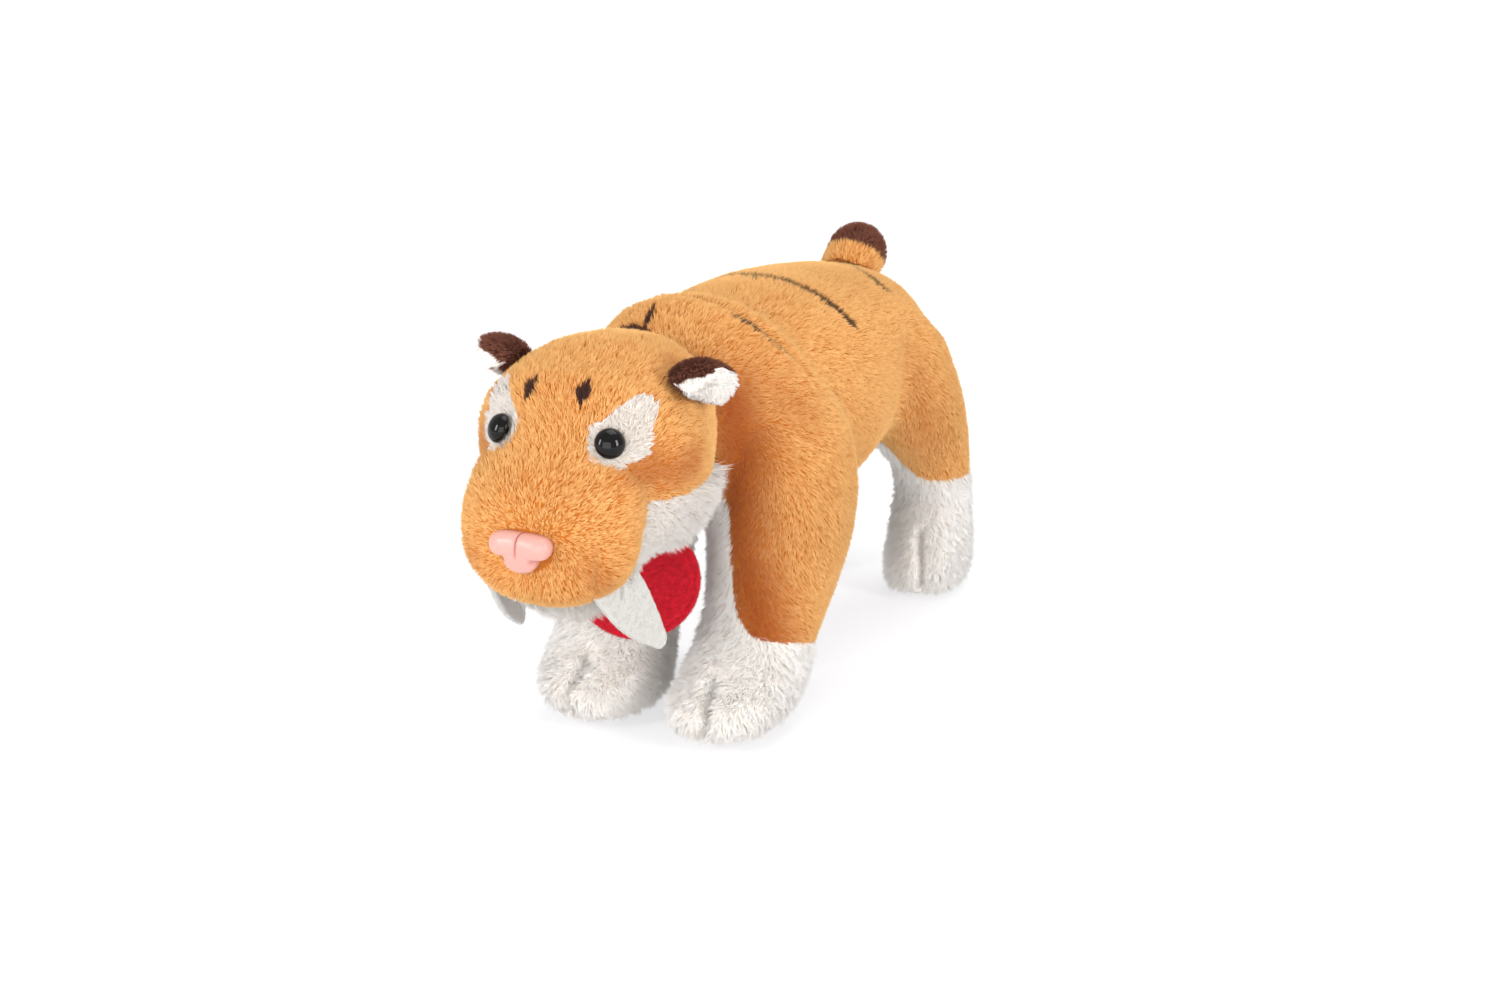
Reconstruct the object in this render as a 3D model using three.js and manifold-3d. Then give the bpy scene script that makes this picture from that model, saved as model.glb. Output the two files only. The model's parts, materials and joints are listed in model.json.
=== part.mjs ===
// Stuffed sabre-toothed cat in short plush, in millimetres. +Z is up, it faces -Y and its left is +X.
import * as THREE from 'three';
import { mergeVertices } from 'three/addons/utils/BufferGeometryUtils.js';
import Module from 'manifold-3d';

const wasm = await Module();
wasm.setup();

// Cloth, seams and fits
const COVER = 2.5;
const SEAM_GAP = 0.3;
const FILL_GAP = 0.3;
const FIT_GAP = 0.3;
const JOINT_GAP = 0.7;
const FAR = 400;
const MERGE = 1e-4;

// How plump a slice is: 2 is an ellipse, and more fills its corners, by this share at 45 degrees
const PLUMP = 2.25;
const CORNER_FILL = 2 ** (0.5 - 1 / PLUMP);

// The trunk ends at the front in a ball, and the head turns on it
const NECK = new THREE.Vector3(0, -22, 85);
const NECK_RADIUS = 27;
const NECK_SLICES = [6, 30, 54];

// A station is one slice of a stuffed form: its middle, its half width across X, its half depth,
// how much it narrows towards its top (pear) and how far its top lies in front of its foot (lean),
// and what a station leaves out is 0
const TRUNK_STATIONS = [
  ...NECK_SLICES.map((degrees) => ballSlice(degrees)),
  { y: -28, z: 84, wide: 28.5, deep: 29, pear: 0.06, lean: 2 },
  { y: -15, z: 81.5, wide: 34, deep: 35, pear: 0.12, lean: 7 },
  { y: -4, z: 81, wide: 34, deep: 34, pear: 0.12, lean: 9 },
  { y: 3, z: 79.5, wide: 30.5, deep: 31.5, pear: 0.1, lean: 9 },
  { y: 11, z: 79.5, wide: 33, deep: 33.5, pear: 0.1, lean: 7 },
  { y: 34, z: 79, wide: 34, deep: 33, pear: 0.1, lean: 3 },
  { y: 60, z: 79.5, wide: 31, deep: 28.5, pear: 0.08 },
  { y: 82, z: 79.5, wide: 27.5, deep: 24, pear: 0.06 },
  { y: 96, z: 77.5, wide: 21, deep: 19 },
  { y: 103.5, z: 77, wide: 11, deep: 10.5 },
  { y: 105.5, z: 77, wide: 3, deep: 2.5 },
];

// The head's slices run from the flat seat of the nose back into the neck
const NOSE_SEAT = -107.5;
const HEAD_STATIONS = [
  { y: NOSE_SEAT, z: 70.5, wide: 10.5, deep: 8.5 },
  { y: -104.5, z: 70, wide: 18, deep: 14.5, pear: 0.08 },
  { y: -99, z: 72, wide: 23.5, deep: 18.5, pear: 0.04 },
  { y: -92.5, z: 75.5, wide: 25, deep: 23, pear: 0.02 },
  { y: -87, z: 76.5, wide: 22.5, deep: 31, pear: -0.26 },
  { y: -82, z: 82, wide: 27.5, deep: 28, pear: -0.24 },
  { y: -75, z: 84.5, wide: 29.5, deep: 27.5, pear: -0.12 },
  { y: -67.5, z: 86, wide: 29.5, deep: 28.5, pear: -0.06 },
  { y: -56.5, z: 87, wide: 26.5, deep: 27 },
  { y: -46.5, z: 89, wide: 22, deep: 22.5 },
  { y: -38.5, z: 87, wide: 17, deep: 18.5 },
  { y: -32.5, z: 86, wide: 8, deep: 7 },
];
const HEAD_MIDDLE = 84;

// The legs' slices run down from inside the trunk to the flat sole
const FRONT_LEG_STATIONS = [
  { x: 18, y: -14, z: 96, wide: 7, deep: 10 },
  { x: 21.5, y: -13, z: 86, wide: 14, deep: 20.5 },
  { x: 24, y: -10.5, z: 70, wide: 17, deep: 26.5 },
  { x: 23.5, y: -10, z: 54, wide: 17.5, deep: 27 },
  { x: 22.5, y: -12.5, z: 38, wide: 16.5, deep: 24 },
  { x: 21, y: -19.5, z: 25, wide: 14.5, deep: 20 },
  { x: 19, y: -31.5, z: 13, wide: 17, deep: 24 },
  { x: 18.5, y: -33, z: 5, wide: 15.5, deep: 21.5 },
  { x: 18.5, y: -33, z: 0, wide: 10.5, deep: 15 },
];
const HIND_LEG_STATIONS = [
  { x: 16, y: 72, z: 92, wide: 9, deep: 13 },
  { x: 20, y: 76, z: 80, wide: 14, deep: 21.5 },
  { x: 24, y: 79.5, z: 62, wide: 13.5, deep: 24.5 },
  { x: 24.5, y: 89.5, z: 49, wide: 12, deep: 18.5 },
  { x: 24, y: 97, z: 37, wide: 11, deep: 14 },
  { x: 23.5, y: 98, z: 26, wide: 11, deep: 14.5 },
  { x: 23, y: 96.5, z: 13, wide: 12.5, deep: 18 },
  { x: 23, y: 96, z: 4, wide: 12, deep: 18 },
  { x: 23, y: 96, z: 0, wide: 9, deep: 13 },
];

// How finely each form is divided
const TRUNK_FACETS = { sides: 20, inner: 12, rings: 18 };
const HEAD_FACETS = { sides: 22, inner: 12, rings: 17 };
const LEG_FACETS = { sides: 12, inner: 8, rings: 9 };
const NECK_FACETS = { sides: 22, rings: 13 };
const EAR_FACETS = { sides: 20, rings: 10, edge: 8 };
const ROUND_SIDES = 14;
const DOME_STEPS = 4;
const NOSE_POINTS = 32;
const PATCH_POINTS = 16;
const TOOTH_STEPS = 8;
const TAG_STEPS = 18;
const LOOP_FACETS = { sides: 6, steps: 24 };
const SWING_STEPS = 2;

// Seams: the belly gusset lies below a sloping plane, and each leg is golden outside and white inside
const BELLY_SEAM = { front: { y: -45, z: 58 }, rear: { y: 100, z: 53 } };
const FRONT_SOCK = { inner: 19, corner: 5, front: { y: -40, z: 29 }, rear: { y: 8, z: 16 } };
const HIND_SOCK = { inner: 20, corner: 4, front: { y: 75, z: 38 }, rear: { y: 110, z: 38 } };

// Side view of the white jaw, from the lip below the nose up to the cheek and back to the neck
const JAW_FOOT = 30;
const JAW_LINE = [
  { y: -108.5, z: 50 },
  { y: -99, z: 54.5 },
  { y: -92.5, z: 57.5 },
  { y: -88.5, z: 63 },
  { y: -86.5, z: 79.5 },
  { y: -78, z: 82 },
  { y: -60, z: 82.5 },
  { y: -28, z: 84 },
];

// Eyes: a black dome on a stem through the cover, held by a lock washer behind it
const EYE = { x: 15.7, z: 95.2, radius: 4.1, dome: 3, sink: 0.9 };
const EYE_LOOK = new THREE.Vector3(0.58, -0.68, 0.42).normalize();
const EYE_STEM = { radius: 1.6, length: 8 };
const WASHER = { radius: 4.2, thick: 1.2, slack: 0.5 };

// The white patch round the eye fans out from the nose side to the ear side
const PATCH_TILT = 32;
const PATCH_OUTLINE = [
  { u: -6, v: 0 },
  { u: -1, v: -6 },
  { u: 9, v: -8.5 },
  { u: 14, v: -8 },
  { u: 16, v: -1 },
  { u: 13.5, v: 4.5 },
  { u: 6, v: 4.8 },
  { u: -3, v: 4.4 },
];
const PATCH_REACH = 16;

// The vinyl nose, right half of its outline from the notch at the top to the tip
const NOSE = { z: 70.5, thick: 2.4, bevel: 1.1 };
const NOSE_HALF = [
  { x: 0, z: 3.6 },
  { x: 4, z: 5 },
  { x: 7.6, z: 3.4 },
  { x: 7.4, z: 0.2 },
  { x: 4.2, z: -0.6 },
  { x: 3, z: -3.4 },
  { x: 0, z: -5 },
];

// Ears: two cupped layers of cloth, sunk in the head and folding on their root
const EAR = { y: -66, wide: 16.5, long: 15.5, lift: 2.5, layer: 2.2, rim: 1.2, cup: 11 };
const EAR_FACING = new THREE.Vector3(0.82, -0.2, -0.5);
const EAR_OUT = new THREE.Vector3(0.66, 0.62, 0.42).normalize();
const EAR_RISE = 49;
const EAR_FOLD = 18;

// Sabre teeth: flat felt blades sewn into the lip
const TOOTH = { x: 17, y: -90, root: 15, long: 24, tip: 5, thick: 1.8, hook: 1.5, sunk: 4 };
const TOOTH_DOWN = new THREE.Vector3(0.13, 0.57, -0.81).normalize();
const TOOTH_FACING = new THREE.Vector3(0.96, -0.22, 0);
const TOOTH_SWING = { min: -5, max: 20 };

// Stub tail, leaning back
const TAIL = { y: 88, radius: 9.4, root: 9.4, long: 14.5, sunk: 9, tip: 3.5, lean: 45 };
const TAIL_BEND = 15;

// Round felt tag on a thread loop at the throat
const TAG = { x: -2, y: -47.5, z: 44, radius: 17, thick: 1.6, turn: 25, hole: 1.6, edge: 1.8 };
const THREAD = { radius: 0.45, high: 4.6, ahead: 3 };

const COLOURS = {
  golden: '#e2a058',
  white: '#efe7de',
  brown: '#5a3429',
  felt: '#f5f2ee',
  filling: '#f3f0ea',
  pink: '#f2b3a8',
  black: '#0b0a0a',
  washer: '#d8d8d6',
  red: '#c3142e',
  thread: '#efe6d8',
};
const ROUGHNESS = {
  golden: 0.95,
  white: 0.95,
  brown: 0.95,
  felt: 0.9,
  filling: 1,
  pink: 0.35,
  black: 0.06,
  washer: 0.5,
  red: 0.9,
  thread: 0.8,
};

const X_AXIS = new THREE.Vector3(1, 0, 0);
const Y_AXIS = new THREE.Vector3(0, 1, 0);
const Z_AXIS = new THREE.Vector3(0, 0, 1);

function radians(degrees) {
  return THREE.MathUtils.degToRad(degrees);
}

function ballSlice(degrees) {
  const angle = radians(degrees);
  const reach = (NECK_RADIUS * Math.sin(angle)) / CORNER_FILL;
  const y = NECK.y - NECK_RADIUS * Math.cos(angle);
  return { y, z: NECK.z, wide: reach, deep: reach };
}

// Shape helpers
function solidOf(geometry) {
  const clean = geometry.clone();
  clean.deleteAttribute('normal');
  clean.deleteAttribute('uv');
  const joined = mergeVertices(clean, MERGE);
  const vertProperties = new Float32Array(joined.attributes.position.array);
  const triVerts = new Uint32Array(joined.index.array);
  return new wasm.Manifold(new wasm.Mesh({ numProp: 3, vertProperties, triVerts }));
}

function geometryOf(solid) {
  const mesh = solid.getMesh();
  const geometry = new THREE.BufferGeometry();
  geometry.setAttribute('position', new THREE.BufferAttribute(mesh.vertProperties, 3));
  geometry.setIndex(new THREE.BufferAttribute(mesh.triVerts, 1));
  geometry.computeVertexNormals();
  return geometry;
}

function piece(name, solid, colour) {
  const material = new THREE.MeshStandardMaterial({
    color: COLOURS[colour],
    roughness: ROUGHNESS[colour],
    metalness: 0,
  });
  const mesh = new THREE.Mesh(geometryOf(solid), material);
  mesh.name = name;
  return mesh;
}

const signedPower = (value, power) => Math.sign(value) * Math.abs(value) ** power;

// A closed skin over the stations: rings of a plump ellipse, with a cap at both ends
function formGeometry(stations, depthAxis, sides, rings) {
  const smooth = (points) => new THREE.CatmullRomCurve3(points, false, 'catmullrom');
  const middles = smooth(stations.map((s) => new THREE.Vector3(s.x ?? 0, s.y, s.z)));
  const sizes = smooth(stations.map((s) => new THREE.Vector3(s.wide, s.deep, s.pear ?? 0)));
  const leans = smooth(stations.map((s) => new THREE.Vector3(s.lean ?? 0, 0, 0)));
  const points = [];
  for (let ring = 0; ring <= rings; ring++) {
    const t = ring / rings;
    const middle = middles.getPoint(t);
    const size = sizes.getPoint(t);
    const lean = leans.getPoint(t).x;
    for (let side = 0; side < sides; side++) {
      const angle = (2 * Math.PI * side) / sides;
      const across = signedPower(Math.cos(angle), 2 / PLUMP);
      const upward = signedPower(Math.sin(angle), 2 / PLUMP);
      const point = middle.clone();
      point.addScaledVector(X_AXIS, size.x * across * (1 - size.z * upward));
      point.addScaledVector(depthAxis, size.y * upward);
      point.addScaledVector(Y_AXIS, -lean * upward);
      points.push(point);
    }
  }
  const first = points.push(middles.getPoint(0)) - 1;
  const last = points.push(middles.getPoint(1)) - 1;
  const faces = [];
  for (let side = 0; side < sides; side++) {
    const next = (side + 1) % sides;
    for (let ring = 0; ring < rings; ring++) {
      const a = ring * sides + side;
      const b = ring * sides + next;
      faces.push(a, a + sides, b, b, a + sides, b + sides);
    }
    faces.push(first, side, next);
    faces.push(last, rings * sides + next, rings * sides + side);
  }
  const geometry = new THREE.BufferGeometry().setFromPoints(points);
  geometry.setIndex(faces);
  geometry.computeVertexNormals();
  return geometry;
}

// The same skin moved in along its own normals, or out where the inset is below 0
function insetGeometry(skin, inset) {
  const moved = skin.clone();
  const place = moved.attributes.position;
  const normal = skin.attributes.normal;
  for (let i = 0; i < place.count; i++) {
    place.setXYZ(i,
      place.getX(i) - inset * normal.getX(i),
      place.getY(i) - inset * normal.getY(i),
      place.getZ(i) - inset * normal.getZ(i));
  }
  return moved;
}

// A form has a fine outer skin, and a lining with fewer sides that its cover and filling share
function stuffedForm(stations, depthAxis, facets) {
  const skin = formGeometry(stations, depthAxis, facets.sides, facets.rings);
  const lining = formGeometry(stations, depthAxis, facets.inner, facets.rings);
  const outside = (gap) => solidOf(insetGeometry(skin, -gap));
  const inside = (gap) => solidOf(insetGeometry(lining, COVER + gap));
  return { skin, outside, cover: outside(0).subtract(inside(0)), filling: inside(FILL_GAP) };
}

const mirrored = (solid) => solid.mirror([1, 0, 0]);
const placed = (solid, matrix) => solid.transform(matrix.elements);
const opposite = (direction) => direction.clone().negate();
const along = (point, direction, distance) => point.clone().addScaledVector(direction, distance);
const column = (matrix, index) => new THREE.Vector3().setFromMatrixColumn(matrix, index);
const prism = (outline, depth, curveSegments) => new THREE.ExtrudeGeometry(outline, {
  depth, curveSegments, bevelEnabled: false,
});
const above = (solid, normal, point, gap) => solid.trimByPlane(normal.toArray(), normal.dot(point) + gap);

// A frame at a point whose Y runs along one direction and whose Z turns towards another
function frameAt(point, up, facing) {
  const y = up.clone().normalize();
  const z = facing.clone().addScaledVector(y, -facing.dot(y)).normalize();
  const x = new THREE.Vector3().crossVectors(y, z);
  return new THREE.Matrix4().makeBasis(x, y, z).setPosition(point);
}

function turnAbout(point, axis, degrees) {
  const turn = new THREE.Matrix4().makeRotationAxis(axis, radians(degrees));
  const away = new THREE.Matrix4().makeTranslation(point.clone().negate());
  return new THREE.Matrix4().makeTranslation(point).multiply(turn).multiply(away);
}

// Cuts a hinged piece so that it clears what carries it from one end of its swing to the other
function clearOfSwing(solid, carrier, point, axis, range) {
  let cut = solid;
  for (let step = 0; step <= SWING_STEPS; step++) {
    const degrees = range.min + ((range.max - range.min) * step) / SWING_STEPS;
    cut = cut.subtract(placed(carrier, turnAbout(point, axis, -degrees)));
  }
  return cut;
}

// Where a ray first meets a form from outside
function surfacePoint(form, from, towards) {
  const target = new THREE.Mesh(form.skin, new THREE.MeshBasicMaterial({ side: THREE.DoubleSide }));
  const hits = new THREE.Raycaster(from, towards).intersectObject(target);
  return hits[0].point;
}

// The normal of a plane that holds the X direction and runs through a front and a rear point, facing up
function slopeNormal(line) {
  return new THREE.Vector3(0, line.front.z - line.rear.z, line.rear.y - line.front.y).normalize();
}
const slopePoint = (line) => new THREE.Vector3(0, line.front.y, line.front.z);

// Trunk: golden back and white belly gusset round one filling
const trunk = stuffedForm(TRUNK_STATIONS, Z_AXIS, TRUNK_FACETS);
const trunkOutside = trunk.outside(SEAM_GAP);
const bellyNormal = slopeNormal(BELLY_SEAM);
const bellyPoint = slopePoint(BELLY_SEAM);
const bellySide = (normal) => above(trunk.cover, normal, bellyPoint, SEAM_GAP / 2);
const bodyPieces = [
  piece('back_cover', bellySide(bellyNormal), 'golden'),
  piece('belly_gusset', bellySide(opposite(bellyNormal)), 'white'),
  piece('trunk_filling', trunk.filling, 'filling'),
];

// Legs: a golden outer panel, a white panel for the inside and the paw, and the filling
function legPieces(stations, sock, place) {
  const leg = stuffedForm(stations, Y_AXIS, LEG_FACETS);
  const cover = leg.cover.subtract(trunkOutside);
  const sockNormal = slopeNormal(sock);
  const sockPoint = slopePoint(sock);
  const innerPoint = new THREE.Vector3(sock.inner, 0, 0);
  const cornerNormal = X_AXIS.clone().add(sockNormal).normalize();
  const cornerPoint = along(sockPoint.clone().add(innerPoint), cornerNormal, sock.corner);
  const seams = [[X_AXIS, innerPoint], [sockNormal, sockPoint], [cornerNormal, cornerPoint]];
  const outer = (solid, gap) => seams.reduce((left, seam) => above(left, ...seam, gap), solid);
  const block = solidOf(new THREE.BoxGeometry(FAR, FAR, FAR));
  const panels = {
    leg: [outer(cover, SEAM_GAP / 2), 'golden'],
    paw: [cover.subtract(outer(block, -SEAM_GAP / 2)), 'white'],
    filling: [leg.filling.subtract(trunkOutside), 'filling'],
  };
  return Object.entries(panels).flatMap(([role, [solid, colour]]) => [
    piece(`${place}_left_${role}`, solid, colour),
    piece(`${place}_right_${role}`, mirrored(solid), colour),
  ]);
}
bodyPieces.push(...legPieces(FRONT_LEG_STATIONS, FRONT_SOCK, 'front'));
bodyPieces.push(...legPieces(HIND_LEG_STATIONS, HIND_SOCK, 'hind'));

// Head: one form, hollowed on the neck ball
const head = stuffedForm(HEAD_STATIONS, Z_AXIS, HEAD_FACETS);
const headOutside = head.outside(SEAM_GAP);
const neckBall = solidOf(
  new THREE.SphereGeometry(NECK_RADIUS + JOINT_GAP, NECK_FACETS.sides, NECK_FACETS.rings).translate(...NECK));

// Lathe profiles are lists of radius and height
const lathe = (profile) => new THREE.LatheGeometry(profile.map((p) => new THREE.Vector2(...p)), ROUND_SIDES);

// A quarter of an ellipse from its brim up to the axis
function domeProfile(radius, brim, top) {
  const profile = [];
  for (let step = 0; step < DOME_STEPS; step++) {
    const angle = (Math.PI / 2) * (step / DOME_STEPS);
    profile.push([radius * Math.cos(angle), brim + (top - brim) * Math.sin(angle)]);
  }
  profile.push([0, top]);
  return profile;
}

// Eyes and nose, each on a stem with a washer behind the cover
function eyeProfile(grow) {
  const stem = EYE_STEM.radius + grow;
  const radius = EYE.radius + grow;
  const foot = -EYE_STEM.length - grow;
  const brim = -EYE.sink - grow;
  const stemProfile = [[0, foot], [stem, foot], [stem, brim]];
  return lathe([...stemProfile, ...domeProfile(radius, brim, EYE.dome + grow)]);
}

function washerGeometry(grow, bore) {
  const half = WASHER.thick / 2 + grow;
  const radius = WASHER.radius + grow;
  return lathe([[bore, -half], [radius, -half], [radius, half], [bore, half], [bore, -half]]);
}

const eyeFrom = new THREE.Vector3(EYE.x, NOSE_SEAT - FAR, EYE.z);
const eyePoint = surfacePoint(head, eyeFrom, Y_AXIS);
const eyeFrame = frameAt(eyePoint, EYE_LOOK, X_AXIS);
const washerDrop = COVER + FIT_GAP + WASHER.thick / 2 + WASHER.slack;
const washerPoint = along(eyePoint, EYE_LOOK, -washerDrop);
const washerFrame = frameAt(washerPoint, EYE_LOOK, X_AXIS);
const stemBore = EYE_STEM.radius + FIT_GAP;

const noseAhead = opposite(Y_AXIS);
function noseOutline() {
  const half = NOSE_HALF.map((p) => new THREE.Vector2(p.x, p.z));
  const other = half.slice(1, -1).reverse().map((p) => new THREE.Vector2(-p.x, p.y));
  const curve = new THREE.SplineCurve([...half, ...other, half[0]]);
  return new THREE.Shape(curve.getPoints(NOSE_POINTS).slice(0, -1));
}
const nosePoint = new THREE.Vector3(0, NOSE_SEAT - SEAM_GAP, NOSE.z);
const noseFrame = frameAt(nosePoint, Z_AXIS, noseAhead);
const noseStem = new THREE.CylinderGeometry(EYE_STEM.radius, EYE_STEM.radius, EYE_STEM.length, ROUND_SIDES)
  .rotateX(Math.PI / 2)
  .translate(0, 0, NOSE.bevel - EYE_STEM.length / 2);
const noseBody = new THREE.ExtrudeGeometry(noseOutline(), {
  depth: NOSE.thick,
  bevelThickness: NOSE.bevel,
  bevelSize: NOSE.bevel,
  bevelOffset: -NOSE.bevel / 2,
  bevelSegments: 2,
}).translate(0, 0, NOSE.bevel);
const noseSolid = solidOf(noseBody).add(solidOf(noseStem));
const noseWasherPoint = along(nosePoint, noseAhead, -washerDrop);
const noseWasherFrame = frameAt(noseWasherPoint, noseAhead, X_AXIS);

// Everything that the cover and the filling leave room for
const stemRoom = new THREE.CylinderGeometry(stemBore, stemBore, 2 * EYE_STEM.length, ROUND_SIDES);
const washerRoom = solidOf(washerGeometry(FIT_GAP, 0));
const eyeRoom = placed(solidOf(eyeProfile(FIT_GAP)), eyeFrame).add(placed(washerRoom, washerFrame));
const noseRoom = placed(solidOf(stemRoom), frameAt(nosePoint, noseAhead, X_AXIS))
  .add(placed(washerRoom, noseWasherFrame));
const faceRoom = eyeRoom.add(mirrored(eyeRoom)).add(noseRoom);
const headCover = head.cover.subtract(neckBall).subtract(faceRoom);
const headFilling = head.filling.subtract(neckBall).subtract(faceRoom);

function jawRegion(gap) {
  const outline = new THREE.Shape(JAW_LINE.map((p) => new THREE.Vector2(p.y, p.z + gap)));
  outline.lineTo(JAW_LINE.at(-1).y, JAW_FOOT);
  outline.lineTo(JAW_LINE[0].y + gap, JAW_FOOT);
  const block = prism(outline, FAR);
  const stand = new THREE.Matrix4().makeBasis(Y_AXIS, Z_AXIS, X_AXIS).setPosition(-FAR / 2, 0, 0);
  return placed(solidOf(block), stand);
}

function patchRegion(gap) {
  const corners = PATCH_OUTLINE.map((p) => new THREE.Vector2(p.u, p.v));
  const middle = new THREE.Box2().setFromPoints(corners).getCenter(new THREE.Vector2());
  const curve = new THREE.SplineCurve([...corners, corners[0]]);
  const points = curve.getPoints(PATCH_POINTS).slice(0, -1);
  points.forEach((p) => p.addScaledVector(p.clone().sub(middle).normalize(), gap));
  const block = prism(new THREE.Shape(points), 2 * PATCH_REACH);
  block.translate(0, 0, -PATCH_REACH).rotateZ(radians(PATCH_TILT));
  return placed(solidOf(block), frameAt(eyePoint, Z_AXIS, EYE_LOOK));
}

const patchRoom = patchRegion(SEAM_GAP / 2);
const upperCover = headCover.subtract(jawRegion(SEAM_GAP / 2));
const faceCover = upperCover.subtract(patchRoom).subtract(mirrored(patchRoom));
const patchShape = patchRegion(-SEAM_GAP / 2);
const washerSolid = solidOf(washerGeometry(0, stemBore));
const headPieces = [
  piece('face_cover', faceCover, 'golden'),
  piece('jaw_cover', headCover.intersect(jawRegion(-SEAM_GAP / 2)), 'white'),
  piece('left_eye_patch', upperCover.intersect(patchShape), 'white'),
  piece('right_eye_patch', upperCover.intersect(mirrored(patchShape)), 'white'),
  piece('head_filling', headFilling, 'filling'),
  piece('nose', placed(noseSolid, noseFrame), 'pink'),
  piece('nose_washer', placed(washerSolid, noseWasherFrame), 'washer'),
];
const eyeSolids = {
  eye: [placed(solidOf(eyeProfile(0)), eyeFrame), 'black'],
  eye_washer: [placed(washerSolid, washerFrame), 'washer'],
};
for (const [role, [solid, colour]] of Object.entries(eyeSolids)) {
  headPieces.push(piece(`left_${role}`, solid, colour));
  headPieces.push(piece(`right_${role}`, mirrored(solid), colour));
}

// Ears: a cupped back and a smaller cupped lining, cut from two shells of one ball
function earLayer(outer, rim) {
  const oval = new THREE.Shape();
  oval.absellipse(0, EAR.lift, EAR.wide / 2 - rim, EAR.long / 2 + EAR.lift - rim, 0, 2 * Math.PI);
  const ball = (radius) => solidOf(
    new THREE.SphereGeometry(radius, EAR_FACETS.sides, EAR_FACETS.rings).translate(0, 0, EAR.cup));
  const shell = ball(outer).subtract(ball(outer - EAR.layer));
  return solidOf(prism(oval, EAR.cup, EAR_FACETS.edge)).intersect(shell);
}
const earRise = radians(EAR_RISE);
const earAway = new THREE.Vector3(Math.cos(earRise), 0, Math.sin(earRise));
const earHeart = new THREE.Vector3(0, EAR.y, HEAD_MIDDLE);
const earPoint = surfacePoint(head, along(earHeart, earAway, FAR), opposite(earAway));
const earFrame = frameAt(earPoint, EAR_OUT, EAR_FACING);
const earAxis = column(earFrame, 0);
const earRange = { min: -EAR_FOLD, max: EAR_FOLD };
const earLayers = {
  ear_back: [earLayer(EAR.cup, 0), 'brown'],
  ear_lining: [earLayer(EAR.cup - EAR.layer - SEAM_GAP, EAR.rim), 'white'],
};
const earPieces = { left: [], right: [] };
for (const [role, [layer, colour]] of Object.entries(earLayers)) {
  const solid = clearOfSwing(placed(layer, earFrame), headOutside, earPoint, earAxis, earRange);
  earPieces.left.push(piece(`left_${role}`, solid, colour));
  earPieces.right.push(piece(`right_${role}`, mirrored(solid), colour));
}

// Teeth: a hooked blade with a blunt tip, its root against the lip
function toothGeometry() {
  const half = TOOTH.root / 2;
  const tipHalf = TOOTH.tip / 2;
  const end = -TOOTH.long + tipHalf;
  const outline = new THREE.Shape();
  outline.moveTo(-half, TOOTH.sunk);
  outline.quadraticCurveTo(-half, end / 2, TOOTH.hook - tipHalf, end);
  outline.absarc(TOOTH.hook, end, tipHalf, Math.PI, 2 * Math.PI, false);
  outline.quadraticCurveTo(half - TOOTH.hook / 2, end / 2, half, TOOTH.sunk);
  return prism(outline, TOOTH.thick, TOOTH_STEPS).translate(0, 0, -TOOTH.thick / 2);
}
const toothPoint = surfacePoint(head, new THREE.Vector3(TOOTH.x, TOOTH.y, -FAR), Z_AXIS);
const toothFrame = frameAt(toothPoint, opposite(TOOTH_DOWN), TOOTH_FACING);
const toothLip = opposite(column(toothFrame, 0));
const toothBlade = placed(solidOf(toothGeometry()), toothFrame);
const toothSolid = clearOfSwing(toothBlade, headOutside, toothPoint, toothLip, TOOTH_SWING);
const toothPieces = {
  left: [piece('left_tooth', toothSolid, 'felt')],
  right: [piece('right_tooth', mirrored(toothSolid), 'felt')],
};

// Tail: golden base, brown tip and filling, bending where it meets the rump
function tailGeometry(inset) {
  const root = [[0, -TAIL.sunk], [TAIL.root - inset, -TAIL.sunk]];
  return lathe([...root, ...domeProfile(TAIL.radius - inset, TAIL.long - TAIL.radius, TAIL.long - inset)]);
}
const tailPoint = surfacePoint(trunk, new THREE.Vector3(0, TAIL.y, FAR), opposite(Z_AXIS));
const tailLean = radians(TAIL.lean);
const tailUp = new THREE.Vector3(0, Math.sin(tailLean), Math.cos(tailLean));
const tailFrame = frameAt(tailPoint, tailUp, Y_AXIS);
const tailSolid = (inset) => placed(solidOf(tailGeometry(inset)), tailFrame);
const tailRange = { min: -TAIL_BEND, max: TAIL_BEND };
const tailClear = (solid) => clearOfSwing(solid, trunkOutside, tailPoint, X_AXIS, tailRange);
const tailCover = tailClear(tailSolid(0).subtract(tailSolid(COVER)));
const tipPoint = along(tailPoint, tailUp, TAIL.tip);
const tailPieces = [
  piece('tail_base', above(tailCover, opposite(tailUp), tipPoint, SEAM_GAP / 2), 'golden'),
  piece('tail_tip', above(tailCover, tailUp, tipPoint, SEAM_GAP / 2), 'brown'),
  piece('tail_filling', tailClear(tailSolid(COVER + FILL_GAP)), 'filling'),
];

// Tag: a felt disc hung by a thread loop that is sewn to the chest
const tagTurn = radians(TAG.turn);
const tagFacing = new THREE.Vector3(Math.sin(tagTurn), -Math.cos(tagTurn), 0);
const tagPoint = new THREE.Vector3(TAG.x, TAG.y, TAG.z);
const tagOutline = new THREE.Shape().absarc(0, 0, TAG.radius, 0, 2 * Math.PI);
const holeHeight = TAG.radius - TAG.edge - TAG.hole;
tagOutline.holes.push(new THREE.Path().absarc(0, holeHeight, TAG.hole, 0, 2 * Math.PI));
const tagDisc = prism(tagOutline, TAG.thick, TAG_STEPS).translate(0, 0, -TAG.thick / 2);
const tag = piece('tag', placed(solidOf(tagDisc), frameAt(tagPoint, Z_AXIS, tagFacing)), 'red');

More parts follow.
